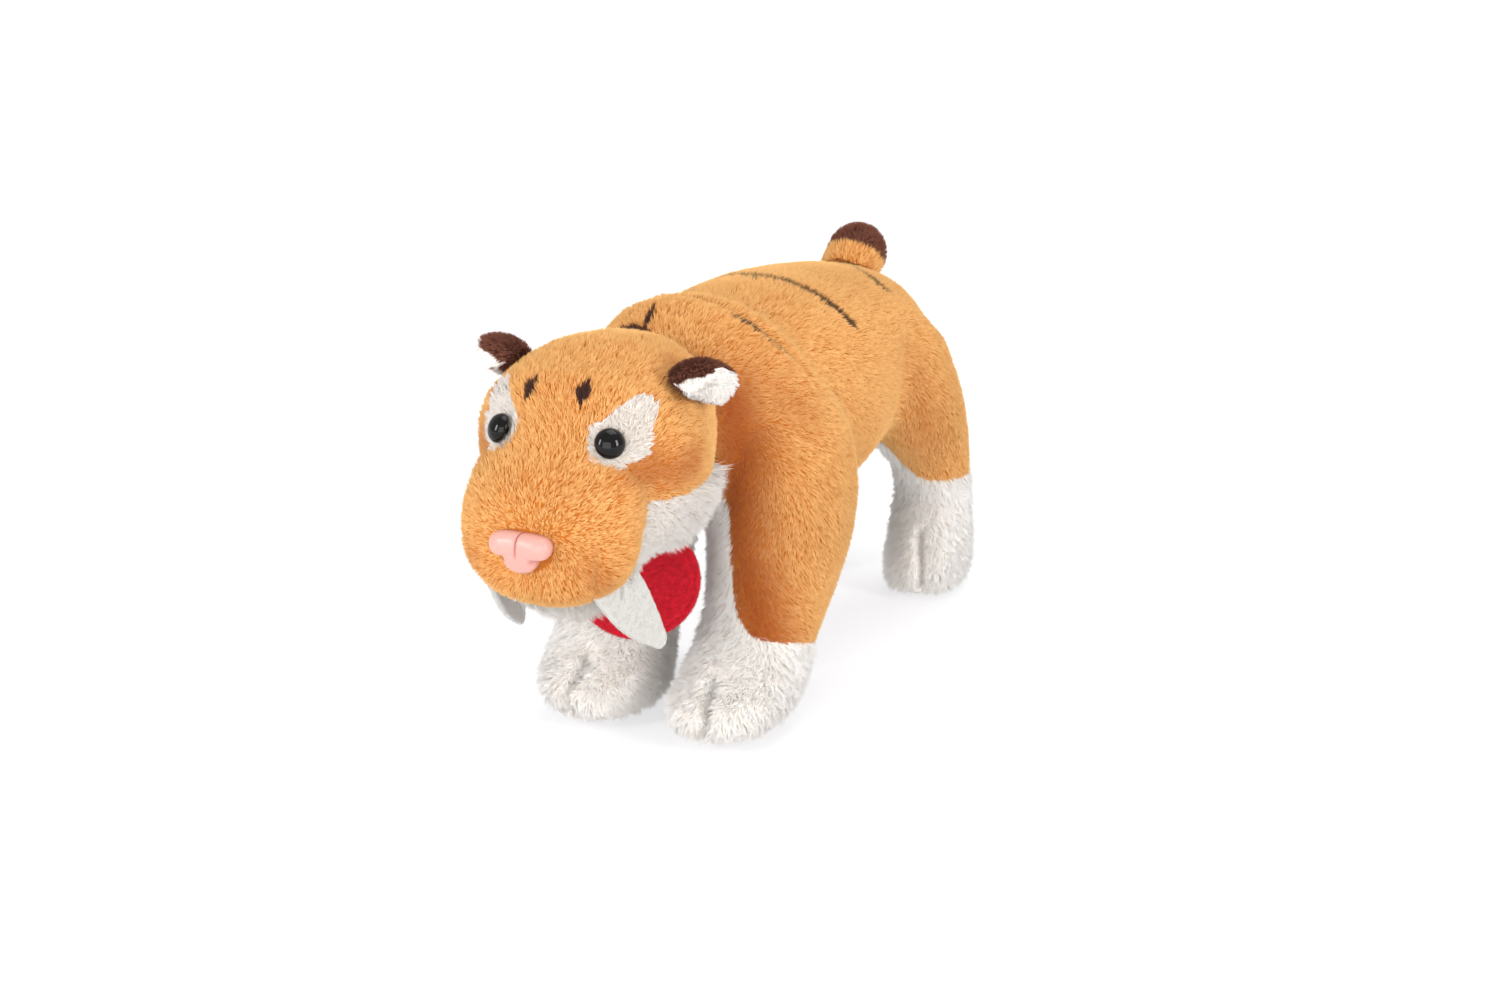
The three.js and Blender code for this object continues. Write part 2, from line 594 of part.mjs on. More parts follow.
// The loop is a stretched ring: its lower strand runs through the hole and its upper one over the edge
const holePoint = along(tagPoint, Z_AXIS, holeHeight);
const tagBehind = opposite(tagFacing);
const sewnPoint = surfacePoint(trunk, along(holePoint, tagFacing, FAR), tagBehind);
const loopHalf = (holePoint.distanceTo(sewnPoint) + THREAD.ahead) / 2;
const strandRise = THREAD.high * Math.sqrt(1 - ((loopHalf - THREAD.ahead) / loopHalf) ** 2);
const loopMiddle = along(holePoint, tagBehind, loopHalf - THREAD.ahead).addScaledVector(Z_AXIS, strandRise);
const loopGeometry = new THREE.TorusGeometry(THREAD.high, THREAD.radius, LOOP_FACETS.sides, LOOP_FACETS.steps)
  .scale(1, loopHalf / THREAD.high, 1);
const loopFrame = frameAt(loopMiddle, tagFacing, new THREE.Vector3().crossVectors(tagFacing, Z_AXIS));
const loopSolid = placed(solidOf(loopGeometry), loopFrame).subtract(trunkOutside);
const thread = piece('tag_thread', loopSolid, 'thread');

// The scene: body, then the head with what hangs on it, then the tail and the tag
function assembly(...members) {
  const group = new THREE.Group();
  group.add(...members);
  return group;
}
const headGroup = assembly(...headPieces);
headGroup.add(assembly(...earPieces.left), assembly(...earPieces.right));
headGroup.add(assembly(...toothPieces.left), assembly(...toothPieces.right));
const toy = assembly(assembly(...bodyPieces, thread), headGroup, assembly(...tailPieces), assembly(tag));

// The toy stands on z = 0 with the middle of its length at y = 0
const box = new THREE.Box3().setFromObject(toy);
toy.position.set(0, -(box.min.y + box.max.y) / 2, -box.min.z);

export default toy;
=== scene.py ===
"""Dresses the stuffed sabre-toothed cat: stuffed skins, plush pile, face, teeth, tag and a studio stage."""

import json
import math
from typing import NamedTuple

import bmesh
import bpy
import numpy as np
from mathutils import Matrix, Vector
from mathutils.bvhtree import BVHTree
from mathutils.kdtree import KDTree


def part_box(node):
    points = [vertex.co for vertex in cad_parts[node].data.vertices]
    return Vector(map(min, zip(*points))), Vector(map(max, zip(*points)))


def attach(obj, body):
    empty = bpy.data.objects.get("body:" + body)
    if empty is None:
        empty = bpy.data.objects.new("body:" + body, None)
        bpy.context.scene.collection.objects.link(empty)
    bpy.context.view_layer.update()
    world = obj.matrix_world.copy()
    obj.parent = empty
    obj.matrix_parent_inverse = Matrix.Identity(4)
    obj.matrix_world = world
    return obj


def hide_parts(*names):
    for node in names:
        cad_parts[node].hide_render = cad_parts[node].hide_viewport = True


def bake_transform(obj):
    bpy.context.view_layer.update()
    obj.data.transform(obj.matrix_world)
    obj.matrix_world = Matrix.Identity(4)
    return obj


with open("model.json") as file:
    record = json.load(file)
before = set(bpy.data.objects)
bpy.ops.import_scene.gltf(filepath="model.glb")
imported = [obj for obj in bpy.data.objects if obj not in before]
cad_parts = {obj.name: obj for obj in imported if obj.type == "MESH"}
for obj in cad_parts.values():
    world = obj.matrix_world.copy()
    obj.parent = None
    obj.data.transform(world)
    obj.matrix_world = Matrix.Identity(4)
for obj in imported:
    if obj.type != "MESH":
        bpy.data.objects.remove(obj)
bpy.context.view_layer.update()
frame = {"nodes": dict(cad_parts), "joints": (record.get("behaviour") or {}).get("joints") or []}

bl_info = {
    "name": "Stuffed sabre-toothed cat",
    "version": (1, 0, 0),
    "blender": (4, 5, 0),
    "location": "3D View > Sidebar > Plush cat",
    "description": "Builds the plush skins, the pile, the face and the tag of a stuffed sabre-toothed cat",
    "category": "Object",
}

MM = 0.001
MOST_TUFTS = 60000
CLOTH_STEPS = 20
WHITE = (1.0, 1.0, 1.0, 1.0)

SIDES = {"left": 1.0, "right": -1.0}
LEGS = [f"{end}_{side}" for end in ("front", "hind") for side in SIDES]
BODY_PANELS = {
    "back_cover": "golden",
    "belly_gusset": "white",
    **{f"{leg}_leg": "golden" for leg in LEGS},
    **{f"{leg}_paw": "white" for leg in LEGS},
}
BODY_FILLINGS = ["trunk_filling", *(f"{leg}_filling" for leg in LEGS)]
HEAD_PANELS = {
    "face_cover": "golden",
    "jaw_cover": "ruff",
    "left_eye_patch": "patch",
    "right_eye_patch": "patch",
}
TAIL_PANELS = {"tail_base": "golden", "tail_tip": "brown"}

JOINTS = {joint["name"]: joint for joint in frame["joints"]}
UP = np.array([0.0, 0.0, 1.0])


def joint_point(name):
    return np.array(JOINTS[name]["pos_m"])


# Places that the frame gives, in metres
NECK = joint_point("head_turn")
TAIL_ROOT = joint_point("tail_bend")
EAR_ROOT = joint_point("left_ear_fold")
TAG_HOLE = joint_point("tag_swing")
TAG_SIDE = -np.array(JOINTS["tag_swing"]["axis"])
TAG_FACING = np.cross(TAG_SIDE, UP)
TAG_MIDDLE = np.mean(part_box("tag"), axis=0)

# Places and sizes that repeat the solids', in millimetres, and directions
NECK_RADIUS = 27
EYE = (15.7, -92.9, 95.2)
EYE_LOOK = (0.58733, -0.68859, 0.42531)
EYE_RADIUS = 3.8
EYE_DOME = 2.9
NOSE = (0, -108.9, 70.5)
TAIL_WAY = (0, 0.7071, 0.7071)
EAR_FACING = (0.836, -0.204, -0.510)
SEWN_POINT = (-11.29, -28.7, 57.6)
THREAD_AHEAD = 3.0
THREAD_HIGH = 4.6

# How far the teeth's sewn ends go under the lip, and skins and pile stay over the floor, in millimetres
TOOTH_TUCK = 3.0
SKIN_OFF_FLOOR = 0.6
PILE_OFF_FLOOR = 0.2

# Finest detail that each piece keeps when it gets an even mesh, in millimetres
BODY_VOXEL = 2.4
HEAD_VOXEL = 2.0
TAIL_VOXEL = 1.4
EAR_VOXEL = 0.9
TOOTH_VOXEL = 0.4
TAG_VOXEL = 0.45

# Distance from the root of each soft piece, in millimetres, to a point that is worked out and not used
EAR_BEND = 9
TOOTH_BEND = 7

# How tufts differ from each other: shares of their length and width, spread of their lean in degrees,
# and how deep their roots sit in the ground in millimetres
TUFT_LENGTHS = (0.72, 1.18)
TUFT_WIDTHS = (0.7, 1.2)
LEAN_SPREAD = 9
ROOT_DEPTH = 0.3

# The nose's outline in millimetres: half of it, from the top notch round the lobe and the nostril to the tip
NOSE_HALF = [(0, 4.2), (0.6, 4.7), (4.3, 4.7), (7.2, 4.0), (8.3, 1.9), (7.6, -0.3), (6.0, -1.1),
             (4.8, -1.2), (4.3, -2.7), (2.8, -4.6), (0, -5.3)]
NOSE_HEART = 0.7

# Grooves that the sewing pulls into the stuffed skins: path, half width and depth in millimetres
FRONT_TOES = [(18.9, -44, 22.4), (18.8, -47.8, 18.7), (19.5, -51.3, 16.1), (20.5, -54.2, 13.4),
              (21.5, -56.6, 10.5), (21, -56, 5), (20.5, -54, 0)]
HIND_TOES = [(25.4, 82, 24), (25.8, 80.7, 18.8), (27, 79.3, 13.7), (27.6, 78.5, 8.3), (27.2, 78.5, 0)]
SHOULDER = [(-8, -20, 115), (0, -19, 116), (7.3, -20, 115), (14, -19.3, 113), (20.4, -17.5, 109.2),
            (25.3, -15, 104.4), (28.5, -11, 99), (31.6, -8.5, 92.5), (34, -5, 86)]
BODY_GROOVES = [(FRONT_TOES, 1.5, 3.4), (HIND_TOES, 1.5, 2.8), (SHOULDER, 2.4, 3.0)]
CHEEK = [(16, -94.5, 90.7), (19.8, -91.8, 89.7), (22.4, -90.6, 86.8), (23.4, -87.7, 82.8), (22.8, -87, 77)]
LIP = [(0, -99, 54), (8, -98, 54.5), (14, -95, 56), (18, -91, 58)]
MUZZLE_SEAM = [(17.8, -104.4, 76), (18.3, -105.1, 69), (17.6, -105, 63), (15.5, -103, 57)]
HEAD_GROOVES = [(CHEEK, 1.8, 1.3), (LIP, 1.2, 0.8), (MUZZLE_SEAM, 0.9, 0.8)]

# Where the golden pile of the cheek ends below and the white eye patches end outside, in millimetres
CHEEK_BORDER = 79.5
PATCH_REACH = 22.8

# Dark marks in the pile: path and half width in millimetres, and whether the right side has the same mark
BACK_MARKS = [
    ([(-7.1, 21.9, 111.5), (-1, 21.7, 112.3), (6.1, 22.8, 111.6), (11.7, 22.4, 110.5), (16.4, 23.9, 108.1),
      (20.4, 24.6, 105.6), (24.1, 25.9, 102), (27.7, 27.8, 97.4)], 0.95, True),
    ([(-7.1, 21.9, 111.5), (-1, 21.7, 112.3), (5, 22.5, 111.8)], 1.1, False),
    ([(-1, 20.4, 112.3), (1.6, 16.6, 112.4)], 0.8, False),
    ([(13.9, -22.2, 112.8), (18.6, -21.2, 110.4), (22.5, -18.6, 107), (25.6, -16.6, 103.8),
      (28, -12.8, 99.3)], 0.75, True),
    ([(-7.3, 71.8, 104.7), (7.3, 71.8, 104.7), (13.3, 68.4, 103.6), (17.6, 66.3, 102), (21.3, 67, 98.6)],
     0.75, True),
    ([(-15, -33, 107.3), (-12, -33.8, 107.9), (-7.6, -35.2, 108.4), (-4, -36, 108.4)], 0.9, False),
    ([(-9.5, -34.7, 108.3), (-5.5, -35.6, 108.4)], 1.4, False),
    ([(-7.2, -35.5, 108.3), (-6.6, -33.8, 109.9), (-6.8, -30.3, 112.4), (-7.4, -27.2, 114)], 0.8, False),
]
HEAD_MARKS = [
    ([(5.9, -86, 108.5), (5.9, -87.5, 107.3), (5.8, -88.7, 106.2), (5.8, -89.5, 104.9), (5.9, -90.2, 103.5)],
     2.0, False),
    ([(-8.8, -86.5, 107.3), (-9.3, -87.4, 106.3), (-9.6, -88.7, 105.1), (-9.8, -90.1, 102.8)], 1.9, False),
]
MARK_TAPER = 3.0

# Painted shade in the golden pile, which darkens it to a deeper colour where shadow falls and the nap turns
# against the light: path and half width in millimetres, and strength
PAINTED_SHADE_BODY = [
    ([(21, -38, 92), (22.5, -36.5, 80), (22, -37.5, 66), (22, -37, 52), (25, -36, 38), (28, -35, 26)],
     10.0, 1.0),
    ([(33, 58, 84), (34, 62, 74), (35, 64, 62), (36, 74, 48)], 8.0, 0.35),
    ([(27, -32, 100), (30, -22, 88)], 8.0, 0.35),
]
PAINTED_SHADE_HEAD = [
    ([(21.5, -91, 88), (24.2, -86.4, 88), (26.3, -82.6, 86.5), (28, -75, 87)], 5.0, 0.65),
    ([(17, -105, 66), (18.5, -101, 60)], 5.0, 0.35),
    ([(18, -64, 108), (22, -60, 103)], 4.0, 0.5),
]


def spot(places):
    """A place or a path given in millimetres, as metres."""
    return np.array(places, float) * MM


def mirrored(path):
    return [(-x, y, z) for x, y, z in path]


def seeded(name):
    """Random numbers that are the same in every run for one piece."""
    return np.random.default_rng(sum((i + 1) * ord(letter) for i, letter in enumerate(name)))


def unit(vectors):
    return vectors / np.maximum(np.linalg.norm(vectors, axis=-1, keepdims=True), 1e-12)


def smooth_step(low, high, values):
    share = np.clip((values - low) / (high - low), 0, 1)
    return share * share * (3 - 2 * share)


def bell(gaps, half):
    """A share that falls smoothly from 1 where the gap is nothing."""
    return np.exp(-((gaps / half) ** 2))


def from_path(points, corners):
    """Each point's distance from a path, and how far along the path it lies from 0 to 1."""
    lengths = np.linalg.norm(np.diff(corners, axis=0), axis=1)
    before = np.concatenate([[0], np.cumsum(lengths)])
    best = np.full(len(points), np.inf)
    share = np.zeros(len(points))
    for number, (start, end) in enumerate(zip(corners, corners[1:])):
        way = end - start
        along = np.clip((points - start) @ way / (way @ way), 0, 1)
        gap = np.linalg.norm(points - start - along[:, None] * way, axis=1)
        nearer = gap < best
        best[nearer] = gap[nearer]
        share[nearer] = ((before[number] + along * lengths[number]) / before[-1])[nearer]
    return best, share


class Signal:
    """A shader socket that takes part in Python expressions."""

    def __init__(self, finish, socket):
        self.finish = finish
        self.socket = socket

    def _math(self, operation, first, second, clamp=False):
        settings = {"operation": operation, "use_clamp": clamp}
        return self.finish.add("ShaderNodeMath", settings, {0: first, 1: second})

    def __add__(self, other):
        return self._math("ADD", self, other)

    def __sub__(self, other):
        return self._math("SUBTRACT", self, other)

    def __mul__(self, other):
        return self._math("MULTIPLY", self, other)

    def __pow__(self, other):
        return self._math("POWER", self, other)

    def clamped(self):
        return self._math("ADD", self, 0.0, True)


class Finish:
    """A procedural material, and the one way in which its nodes are added."""

    def __init__(self, name, **constants):
        self.material = bpy.data.materials.new(name)
        self.material.use_nodes = True
        self.tree = self.material.node_tree
        self.shader = self.tree.nodes["Principled BSDF"]
        for socket, value in constants.items():
            self.shader.inputs[socket.replace("_", " ")].default_value = value

    def add(self, kind, settings=None, sockets=None, output=0):
        node = self.tree.nodes.new(kind)
        for name, value in (settings or {}).items():
            setattr(node, name, value)
        for name, value in (sockets or {}).items():
            self.feed(node.inputs[name], value)
        return Signal(self, node.outputs[output])

    def feed(self, socket, value):
        if isinstance(value, Signal):
            self.tree.links.new(value.socket, socket)
        else:
            socket.default_value = value

    def paint(self, **sockets):
        for name, value in sockets.items():
            self.feed(self.shader.inputs[name.replace("_", " ")], value)
        return self.material

    def attribute(self, name, output="Fac"):
        return self.add("ShaderNodeAttribute", {"attribute_name": name}, output=output)

    def place(self):
        return self.add("ShaderNodeTexCoord", output="Object")

    def noise(self, scale, detail=3.0, roughness=0.55):
        sockets = {"Vector": self.place(), "Scale": scale, "Detail": detail, "Roughness": roughness}
        return self.add("ShaderNodeTexNoise", None, sockets, "Fac")

    def mix(self, share, first, second, blend="MIX"):
        settings = {"data_type": "RGBA", "blend_type": blend}
        return self.add("ShaderNodeMix", settings, {0: share, 6: first, 7: second}, 2)

    def bump(self, height, strength, distance):
        sockets = {"Height": height, "Strength": strength, "Distance": distance}
        return self.add("ShaderNodeBump", None, sockets)


def colour(values):
    return (*values, 1.0)


def new_object(name, data, material=None):
    obj = bpy.data.objects.new(name, data)
    if material:
        data.materials.append(material)
    bpy.context.scene.collection.objects.link(obj)
    return obj


def shade_smooth(mesh):
    mesh.polygons.foreach_set("use_smooth", np.full(len(mesh.polygons), True))


def move_points(mesh, points):
    mesh.vertices.foreach_set("co", points.astype(np.float32).ravel())
    mesh.update()


def write_field(mesh, name, values):
    """Gives each point of a mesh a number that its finish reads."""
    mesh.attributes.new(name, "FLOAT", "POINT").data.foreach_set("value", values.astype(np.float32))


def drawn(name, draw):
    """A mesh drawn by bmesh."""
    shape = bmesh.new()
    draw(shape)
    mesh = bpy.data.meshes.new(name)
    shape.to_mesh(mesh)
    shape.free()
    return mesh


def mesh_from(name, points, triangles):
    """A smooth mesh from arrays of points and triangles."""
    mesh = bpy.data.meshes.new(name)
    mesh.vertices.add(len(points))
    mesh.vertices.foreach_set("co", np.asarray(points, np.float32).ravel())
    mesh.loops.add(3 * len(triangles))
    mesh.loops.foreach_set("vertex_index", np.asarray(triangles, np.int32).ravel())
    mesh.polygons.add(len(triangles))
    mesh.polygons.foreach_set("loop_start", np.arange(0, 3 * len(triangles), 3, dtype=np.int32))
    mesh.update(calc_edges=True)
    shade_smooth(mesh)
    return mesh


def points_of(mesh, field="co"):
    values = np.empty(3 * len(mesh.vertices), np.float32)
    mesh.vertices.foreach_get(field, values)
    return values.reshape(-1, 3).astype(float)


def triangles_of(mesh):
    mesh.calc_loop_triangles()
    corners = np.empty(3 * len(mesh.loop_triangles), np.int32)
    mesh.loop_triangles.foreach_get("vertices", corners)
    return corners.reshape(-1, 3)


def edges_of(mesh):
    ends = np.empty(2 * len(mesh.edges), np.int32)
    mesh.edges.foreach_get("vertices", ends)
    return ends.reshape(-1, 2)


def joined_nodes(names):
    """The meshes of several CAD nodes as points and triangles, with each triangle's node."""
    points, triangles, owners, count = [], [], [], 0
    for number, name in enumerate(names):
        mesh = frame["nodes"][name].data
        points.append(points_of(mesh))
        corners = triangles_of(mesh)
        triangles.append(corners + count)
        owners.append(np.full(len(corners), number))
        count += len(mesh.vertices)
    return np.concatenate(points), np.concatenate(triangles), np.concatenate(owners)


def applied(obj):
    """Bakes an object's modifiers into its mesh."""
    evaluated = obj.evaluated_get(bpy.context.evaluated_depsgraph_get())
    mesh = bpy.data.meshes.new_from_object(evaluated)
    obj.modifiers.clear()
    obj.data = mesh
    return obj


def remeshed(obj, voxel):
    """Gives an object one even, closed mesh in place of its own."""
    remesh = obj.modifiers.new("Remesh", "REMESH")
    remesh.mode = "VOXEL"
    remesh.voxel_size = voxel
    return applied(obj)


def surface_of(points, triangles):
    """A surface on which the nearest place to a point can be looked up."""
    return BVHTree.FromPolygons(points.tolist(), triangles.tolist())


def put_on(obj, hold, slot, *nodes):
    """Holds a piece on its body, in place of the CAD nodes that it stands for."""
    hold(obj)
    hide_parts(*nodes)


def plump(name, points):
    """A mesh stretched over points, with no hollow left."""
    def stretch(shape):
        for point in points.tolist():
            shape.verts.new(point)
        bmesh.ops.convex_hull(shape, input=shape.verts)

    return drawn(name, stretch)


def stuffed_skin(name, nodes, voxel, rest, filled=False):
    """One closed skin over several CAD nodes, with their hollows or filled, blown up as a cloth."""
    plush = bpy.context.scene.plush
    points, triangles, _ = joined_nodes(nodes)
    skin = new_object(name, plump(name, points) if filled else mesh_from(name, points, triangles))
    remeshed(skin, voxel)
    blow_up(skin, plush.filling_pressure, plush.filling_reach, rest)
    skin.modifiers.new("Subdivide", "SUBSURF").levels = 1
    return applied(skin)


def blow_up(skin, pressure, reach, rest):
    """Runs the cloth under pressure for a moment, within reach, with each point's share of the swelling."""
    before = points_of(skin.data)
    cloth = skin.modifiers.new("Cloth", "CLOTH")
    cloth.settings.use_pressure = True
    cloth.settings.uniform_pressure_force = pressure
    cloth.settings.effector_weights.gravity = 0
    cloth.collision_settings.use_collision = False
    cloth.point_cache.frame_end = CLOTH_STEPS
    for step in range(1, CLOTH_STEPS + 1):
        bpy.context.scene.frame_set(step)
    applied(skin)
    bpy.context.scene.frame_set(1)
    moved = points_of(skin.data) - before
    far = np.linalg.norm(moved, axis=1, keepdims=True)
    moved *= np.minimum(1, reach / np.maximum(far, 1e-9)) * rest(before)[:, None]
    move_points(skin.data, before + moved)


def both_sides(*lines):
    """Lines given as path and sizes, on the left and on the right."""
    return [side for path, *sizes in lines for side in ((path, *sizes), (mirrored(path), *sizes))]


def settle(skin, rounds, grooves, inset):
    """Evens out the skin, pulls the sewn grooves in and draws it back under the pile."""
    mesh = skin.data
    points = evened(mesh, points_of(mesh), rounds)
    move_points(mesh, points)
    normals = points_of(mesh, "normal")
    surface = surface_of(points, triangles_of(mesh))
    depth = np.full(len(points), inset)
    for path, half, deep in grooves:
        gap, share = from_path(points, laid_on(surface, path, 0))
        ends_fade = smooth_step(0, 0.15, share) * smooth_step(0, 0.1, 1 - share)
        depth += deep * MM * bell(gap, half * MM) * ends_fade
    points = points - normals * depth[:, None]
    points[:, 2] = np.maximum(points[:, 2], SKIN_OFF_FLOOR * MM)
    move_points(mesh, points)
    shade_smooth(mesh)


class Pile(NamedTuple):
    """One kind of plush: its colours, how long and thick its pile is, how it leans and how it gathers."""

    finish: object
    slot: str
    ground: object
    length: float
    width: float
    density: float
    lean: float
    swirl: float
    tuft: int
    gather: float


def scatter(mesh, density, chance, fields=None):
    """Roots spread evenly over a mesh, with the surface normals and any fields of the vertices there."""
    points, normals, corners = points_of(mesh), points_of(mesh, "normal"), triangles_of(mesh)
    a, b, c = (points[corners[:, k]] for k in range(3))
    areas = np.linalg.norm(np.cross(b - a, c - a), axis=1) / 2
    count = int(areas.sum() * density / MM**2)
    picks = np.searchsorted(np.cumsum(areas), chance.random(count) * areas.sum())
    picks = np.minimum(picks, len(corners) - 1)
    u, v = np.sqrt(chance.random(count)), chance.random(count)
    weights = np.stack([1 - u, u * (1 - v), u * v], axis=1)[:, :, None]
    given = [values for values in (points, normals, fields) if values is not None]
    found = [(values[corners[picks]] * weights).sum(1) for values in given]
    found[1] = unit(found[1])
    return found


def evened(mesh, values, rounds):
    """Moves each vertex's values half way to the mean of its neighbours, several times over."""
    ends = edges_of(mesh)
    count = np.bincount(ends.ravel(), minlength=len(values))[:, None]
    for _ in range(rounds):
        total = np.zeros_like(values)
        np.add.at(total, ends[:, 0], values[ends[:, 1]])
        np.add.at(total, ends[:, 1], values[ends[:, 0]])
        values = values + 0.5 * (total / count - values)
    return values


def nearest_nodes(points, names):
    """The number of the CAD node that lies nearest to each point."""
    verts, faces, owners = joined_nodes(names)
    surface = surface_of(verts, faces)
    return np.array([owners[surface.find_nearest(point)[2]] for point in points.tolist()])


def laid_on(surface, path, height):
    """A path drawn out in short steps and laid on the pile over a surface, in metres."""
    corners = spot(path)
    steps = np.linspace(0, len(corners) - 1, 8 * len(corners))
    numbers = np.arange(len(corners))
    dots = np.stack([np.interp(steps, numbers, corners[:, axis]) for axis in range(3)], axis=1)
    found = [surface.find_nearest(dot)[:2] for dot in dots.tolist()]
    return np.array([place + normal * height for place, normal in found])


def marked(places, surface, marks, height, chance):
    """Whether a dark mark lies on each place in the pile, with tapered ends and ragged edges."""
    dark = np.zeros(len(places), bool)
    on_left = np.abs(places * (1, 0, 0)) + places * (0, 1, 1)
    for path, half, both in marks:
        line = laid_on(surface, path, height)
        gap, share = from_path(on_left if both else places, line)
        to_end = np.minimum(share, 1 - share) * np.linalg.norm(np.diff(line, axis=0), axis=1).sum()
        taper = np.clip(to_end / (MARK_TAPER * MM), 0.25, 1)
        dark |= gap < half * MM * taper * chance.uniform(0.85, 1.15, len(places))
    return dark


def painted_shade_share(places, areas):
    """How much painted shade darkens the pile at each place, from 0 to 1."""
    most = np.zeros(len(places))
    for path, half, strength in both_sides(*areas):
        gap, _ = from_path(places, spot(path))
        most = np.maximum(most, strength * bell(gap, half * MM))
    return most


def grow(name, hold, pile, roots, normals, naps, chance, stretch=None, fields=None):
    """A piece of pile: one slim three-sided tuft for each root, leaning along the nap."""
    count = len(roots)
    naps = unit(naps - normals * (naps * normals).sum(1, keepdims=True))
    turn = chance.normal(0, math.radians(pile.swirl), count)[:, None]
    across = np.cross(normals, naps)
    flow = naps * np.cos(turn) + across * np.sin(turn)
    lean = np.radians(chance.normal(pile.lean, LEAN_SPREAD, count))[:, None]
    ways = normals * np.cos(lean) + flow * np.sin(lean)
    lengths = pile.length * chance.uniform(*TUFT_LENGTHS, count)
    if stretch is not None:
        lengths = lengths * stretch
    tips = roots + ways * lengths[:, None]

    heads = chance.choice(count, max(1, count // pile.tuft), replace=False)
    tree = KDTree(len(heads))
    for number, head in enumerate(heads):
        tree.insert(roots[head], number)
    tree.balance()
    tufts = np.array([tree.find(root)[1] for root in roots.tolist()])
    pull = pile.gather * chance.uniform(0.5, 1.0, count)[:, None]
    tips = tips + (tips[heads[tufts]] - tips) * pull
    tint = 0.65 * chance.random(len(heads))[tufts] + 0.35 * chance.random(count)

    ways = unit(tips - roots)
    side = unit(np.cross(ways, chance.normal(size=(count, 3))))
    other = np.cross(ways, side)
    half = pile.width / 2 * chance.uniform(*TUFT_WIDTHS, count)[:, None]
    points = np.empty((count, 4, 3))
    shading = np.empty((count, 4, 3))
    for corner in range(3):
        angle = 2 * math.pi * corner / 3
        out = side * math.cos(angle) + other * math.sin(angle)
        points[:, corner] = roots - ways * ROOT_DEPTH * MM + out * half
        shading[:, corner] = unit(normals + 0.45 * out)
    points[:, 3] = tips
    shading[:, 3] = unit(normals + 0.25 * ways)
    points[:, :, 2] = np.maximum(points[:, :, 2], PILE_OFF_FLOOR * MM)

    first = 4 * np.arange(count)[:, None]
    triangles = np.stack([first + [0, 1, 3], first + [1, 2, 3], first + [2, 0, 3]], axis=1).reshape(-1, 3)
    mesh = mesh_from(name, points.reshape(-1, 3), triangles)
    write_field(mesh, "along", np.tile([0, 0, 0, 1], count))
    write_field(mesh, "tint", np.repeat(tint, 4))
    if fields is not None:
        for field, values in fields(roots, tips).items():
            write_field(mesh, field, np.repeat(values, 4))
    lay_out(mesh, count)
    mesh.normals_split_custom_set_from_vertices(shading.reshape(-1, 3).tolist())
    obj = new_object(name, mesh, pile.finish)
    hold(obj)
    return obj


def riding(body):
    """Holds a piece on one body."""
    return lambda obj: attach(obj, body)


def lay_out(mesh, count):
    """One small cell of the baked picture for each tuft."""
    cells = math.ceil(math.sqrt(count))
    column, row = np.arange(count) % cells, np.arange(count) // cells
    corners = np.empty((count, 3, 3, 2), np.float32)
    for face in range(3):
        left = 0.1 + 0.27 * face
        for corner, (u, v) in enumerate(((left, 0.12), (left + 0.25, 0.12), (left + 0.125, 0.88))):
            corners[:, face, corner, 0] = (column + u) / cells
            corners[:, face, corner, 1] = (row + v) / cells
    mesh.uv_layers.new(name="OFBake").data.foreach_set("uv", corners.ravel())


def swirled(points, naps, size, amount):
    """Turns the nap a little from place to place."""
    x, y, z = (points / size).T
    waves = np.stack([np.sin(y + 1.3 * z), np.sin(z * 1.1 + x), np.sin(x * 1.2 + y * 0.7)], axis=1)
    return unit(naps) + amount * waves


def plush_finish(name, root, tip, shade, mark=None):
    """Plush: darker between the tufts as painted shade deep in the pile, light at their tips, each tuft a
    little different.
    """
    finish = Finish(name, Roughness=0.9, Specular_IOR_Level=0.12, Sheen_Weight=0.6, Sheen_Roughness=0.4,
                    Sheen_Tint=colour(tip))
    height = finish.attribute("along")
    tint = finish.attribute("tint")
    patches = finish.noise(45.0)
    # Painted shade: each tuft runs from its dark root colour up to its light tip colour
    rise = height ** 0.8 * 0.75 + tint * 0.3 + patches * 0.35 - 0.2
    pile = finish.mix(rise.clamped(), colour(root), colour(tip))
    lit = finish.mix((tint * 0.9).clamped(), colour(shade), WHITE)
    pile = finish.mix(0.6, pile, lit, "MULTIPLY")
    if mark is not None:
        # Painted shade: the golden pile darkens towards a deeper colour where its painted shade field is
        # high
        deep = (root[0] * 0.62, root[1] * 0.30, root[2] * 0.25)
        pile = finish.mix(finish.attribute("brushed") * 0.85, pile, colour(deep))
        pile = finish.mix(finish.attribute("dark"), pile, colour(mark))
    return finish.paint(Base_Color=pile)


def backing_finish():
    """The knitted ground under the pile, in the colour of the panel above it, made once."""
    if "knitted backing" in bpy.data.materials:
        return bpy.data.materials["knitted backing"]
    finish = Finish("knitted backing", Roughness=0.95, Specular_IOR_Level=0.1)
    knit = finish.noise(900.0, 2.0)
    tone = finish.attribute("ground", "Color")
    shade = finish.mix(knit, (0.55, 0.55, 0.55, 1.0), WHITE)
    return finish.paint(Base_Color=finish.mix(1.0, tone, shade, "MULTIPLY"),
                        Normal=finish.bump(knit, 0.6, 0.0004))


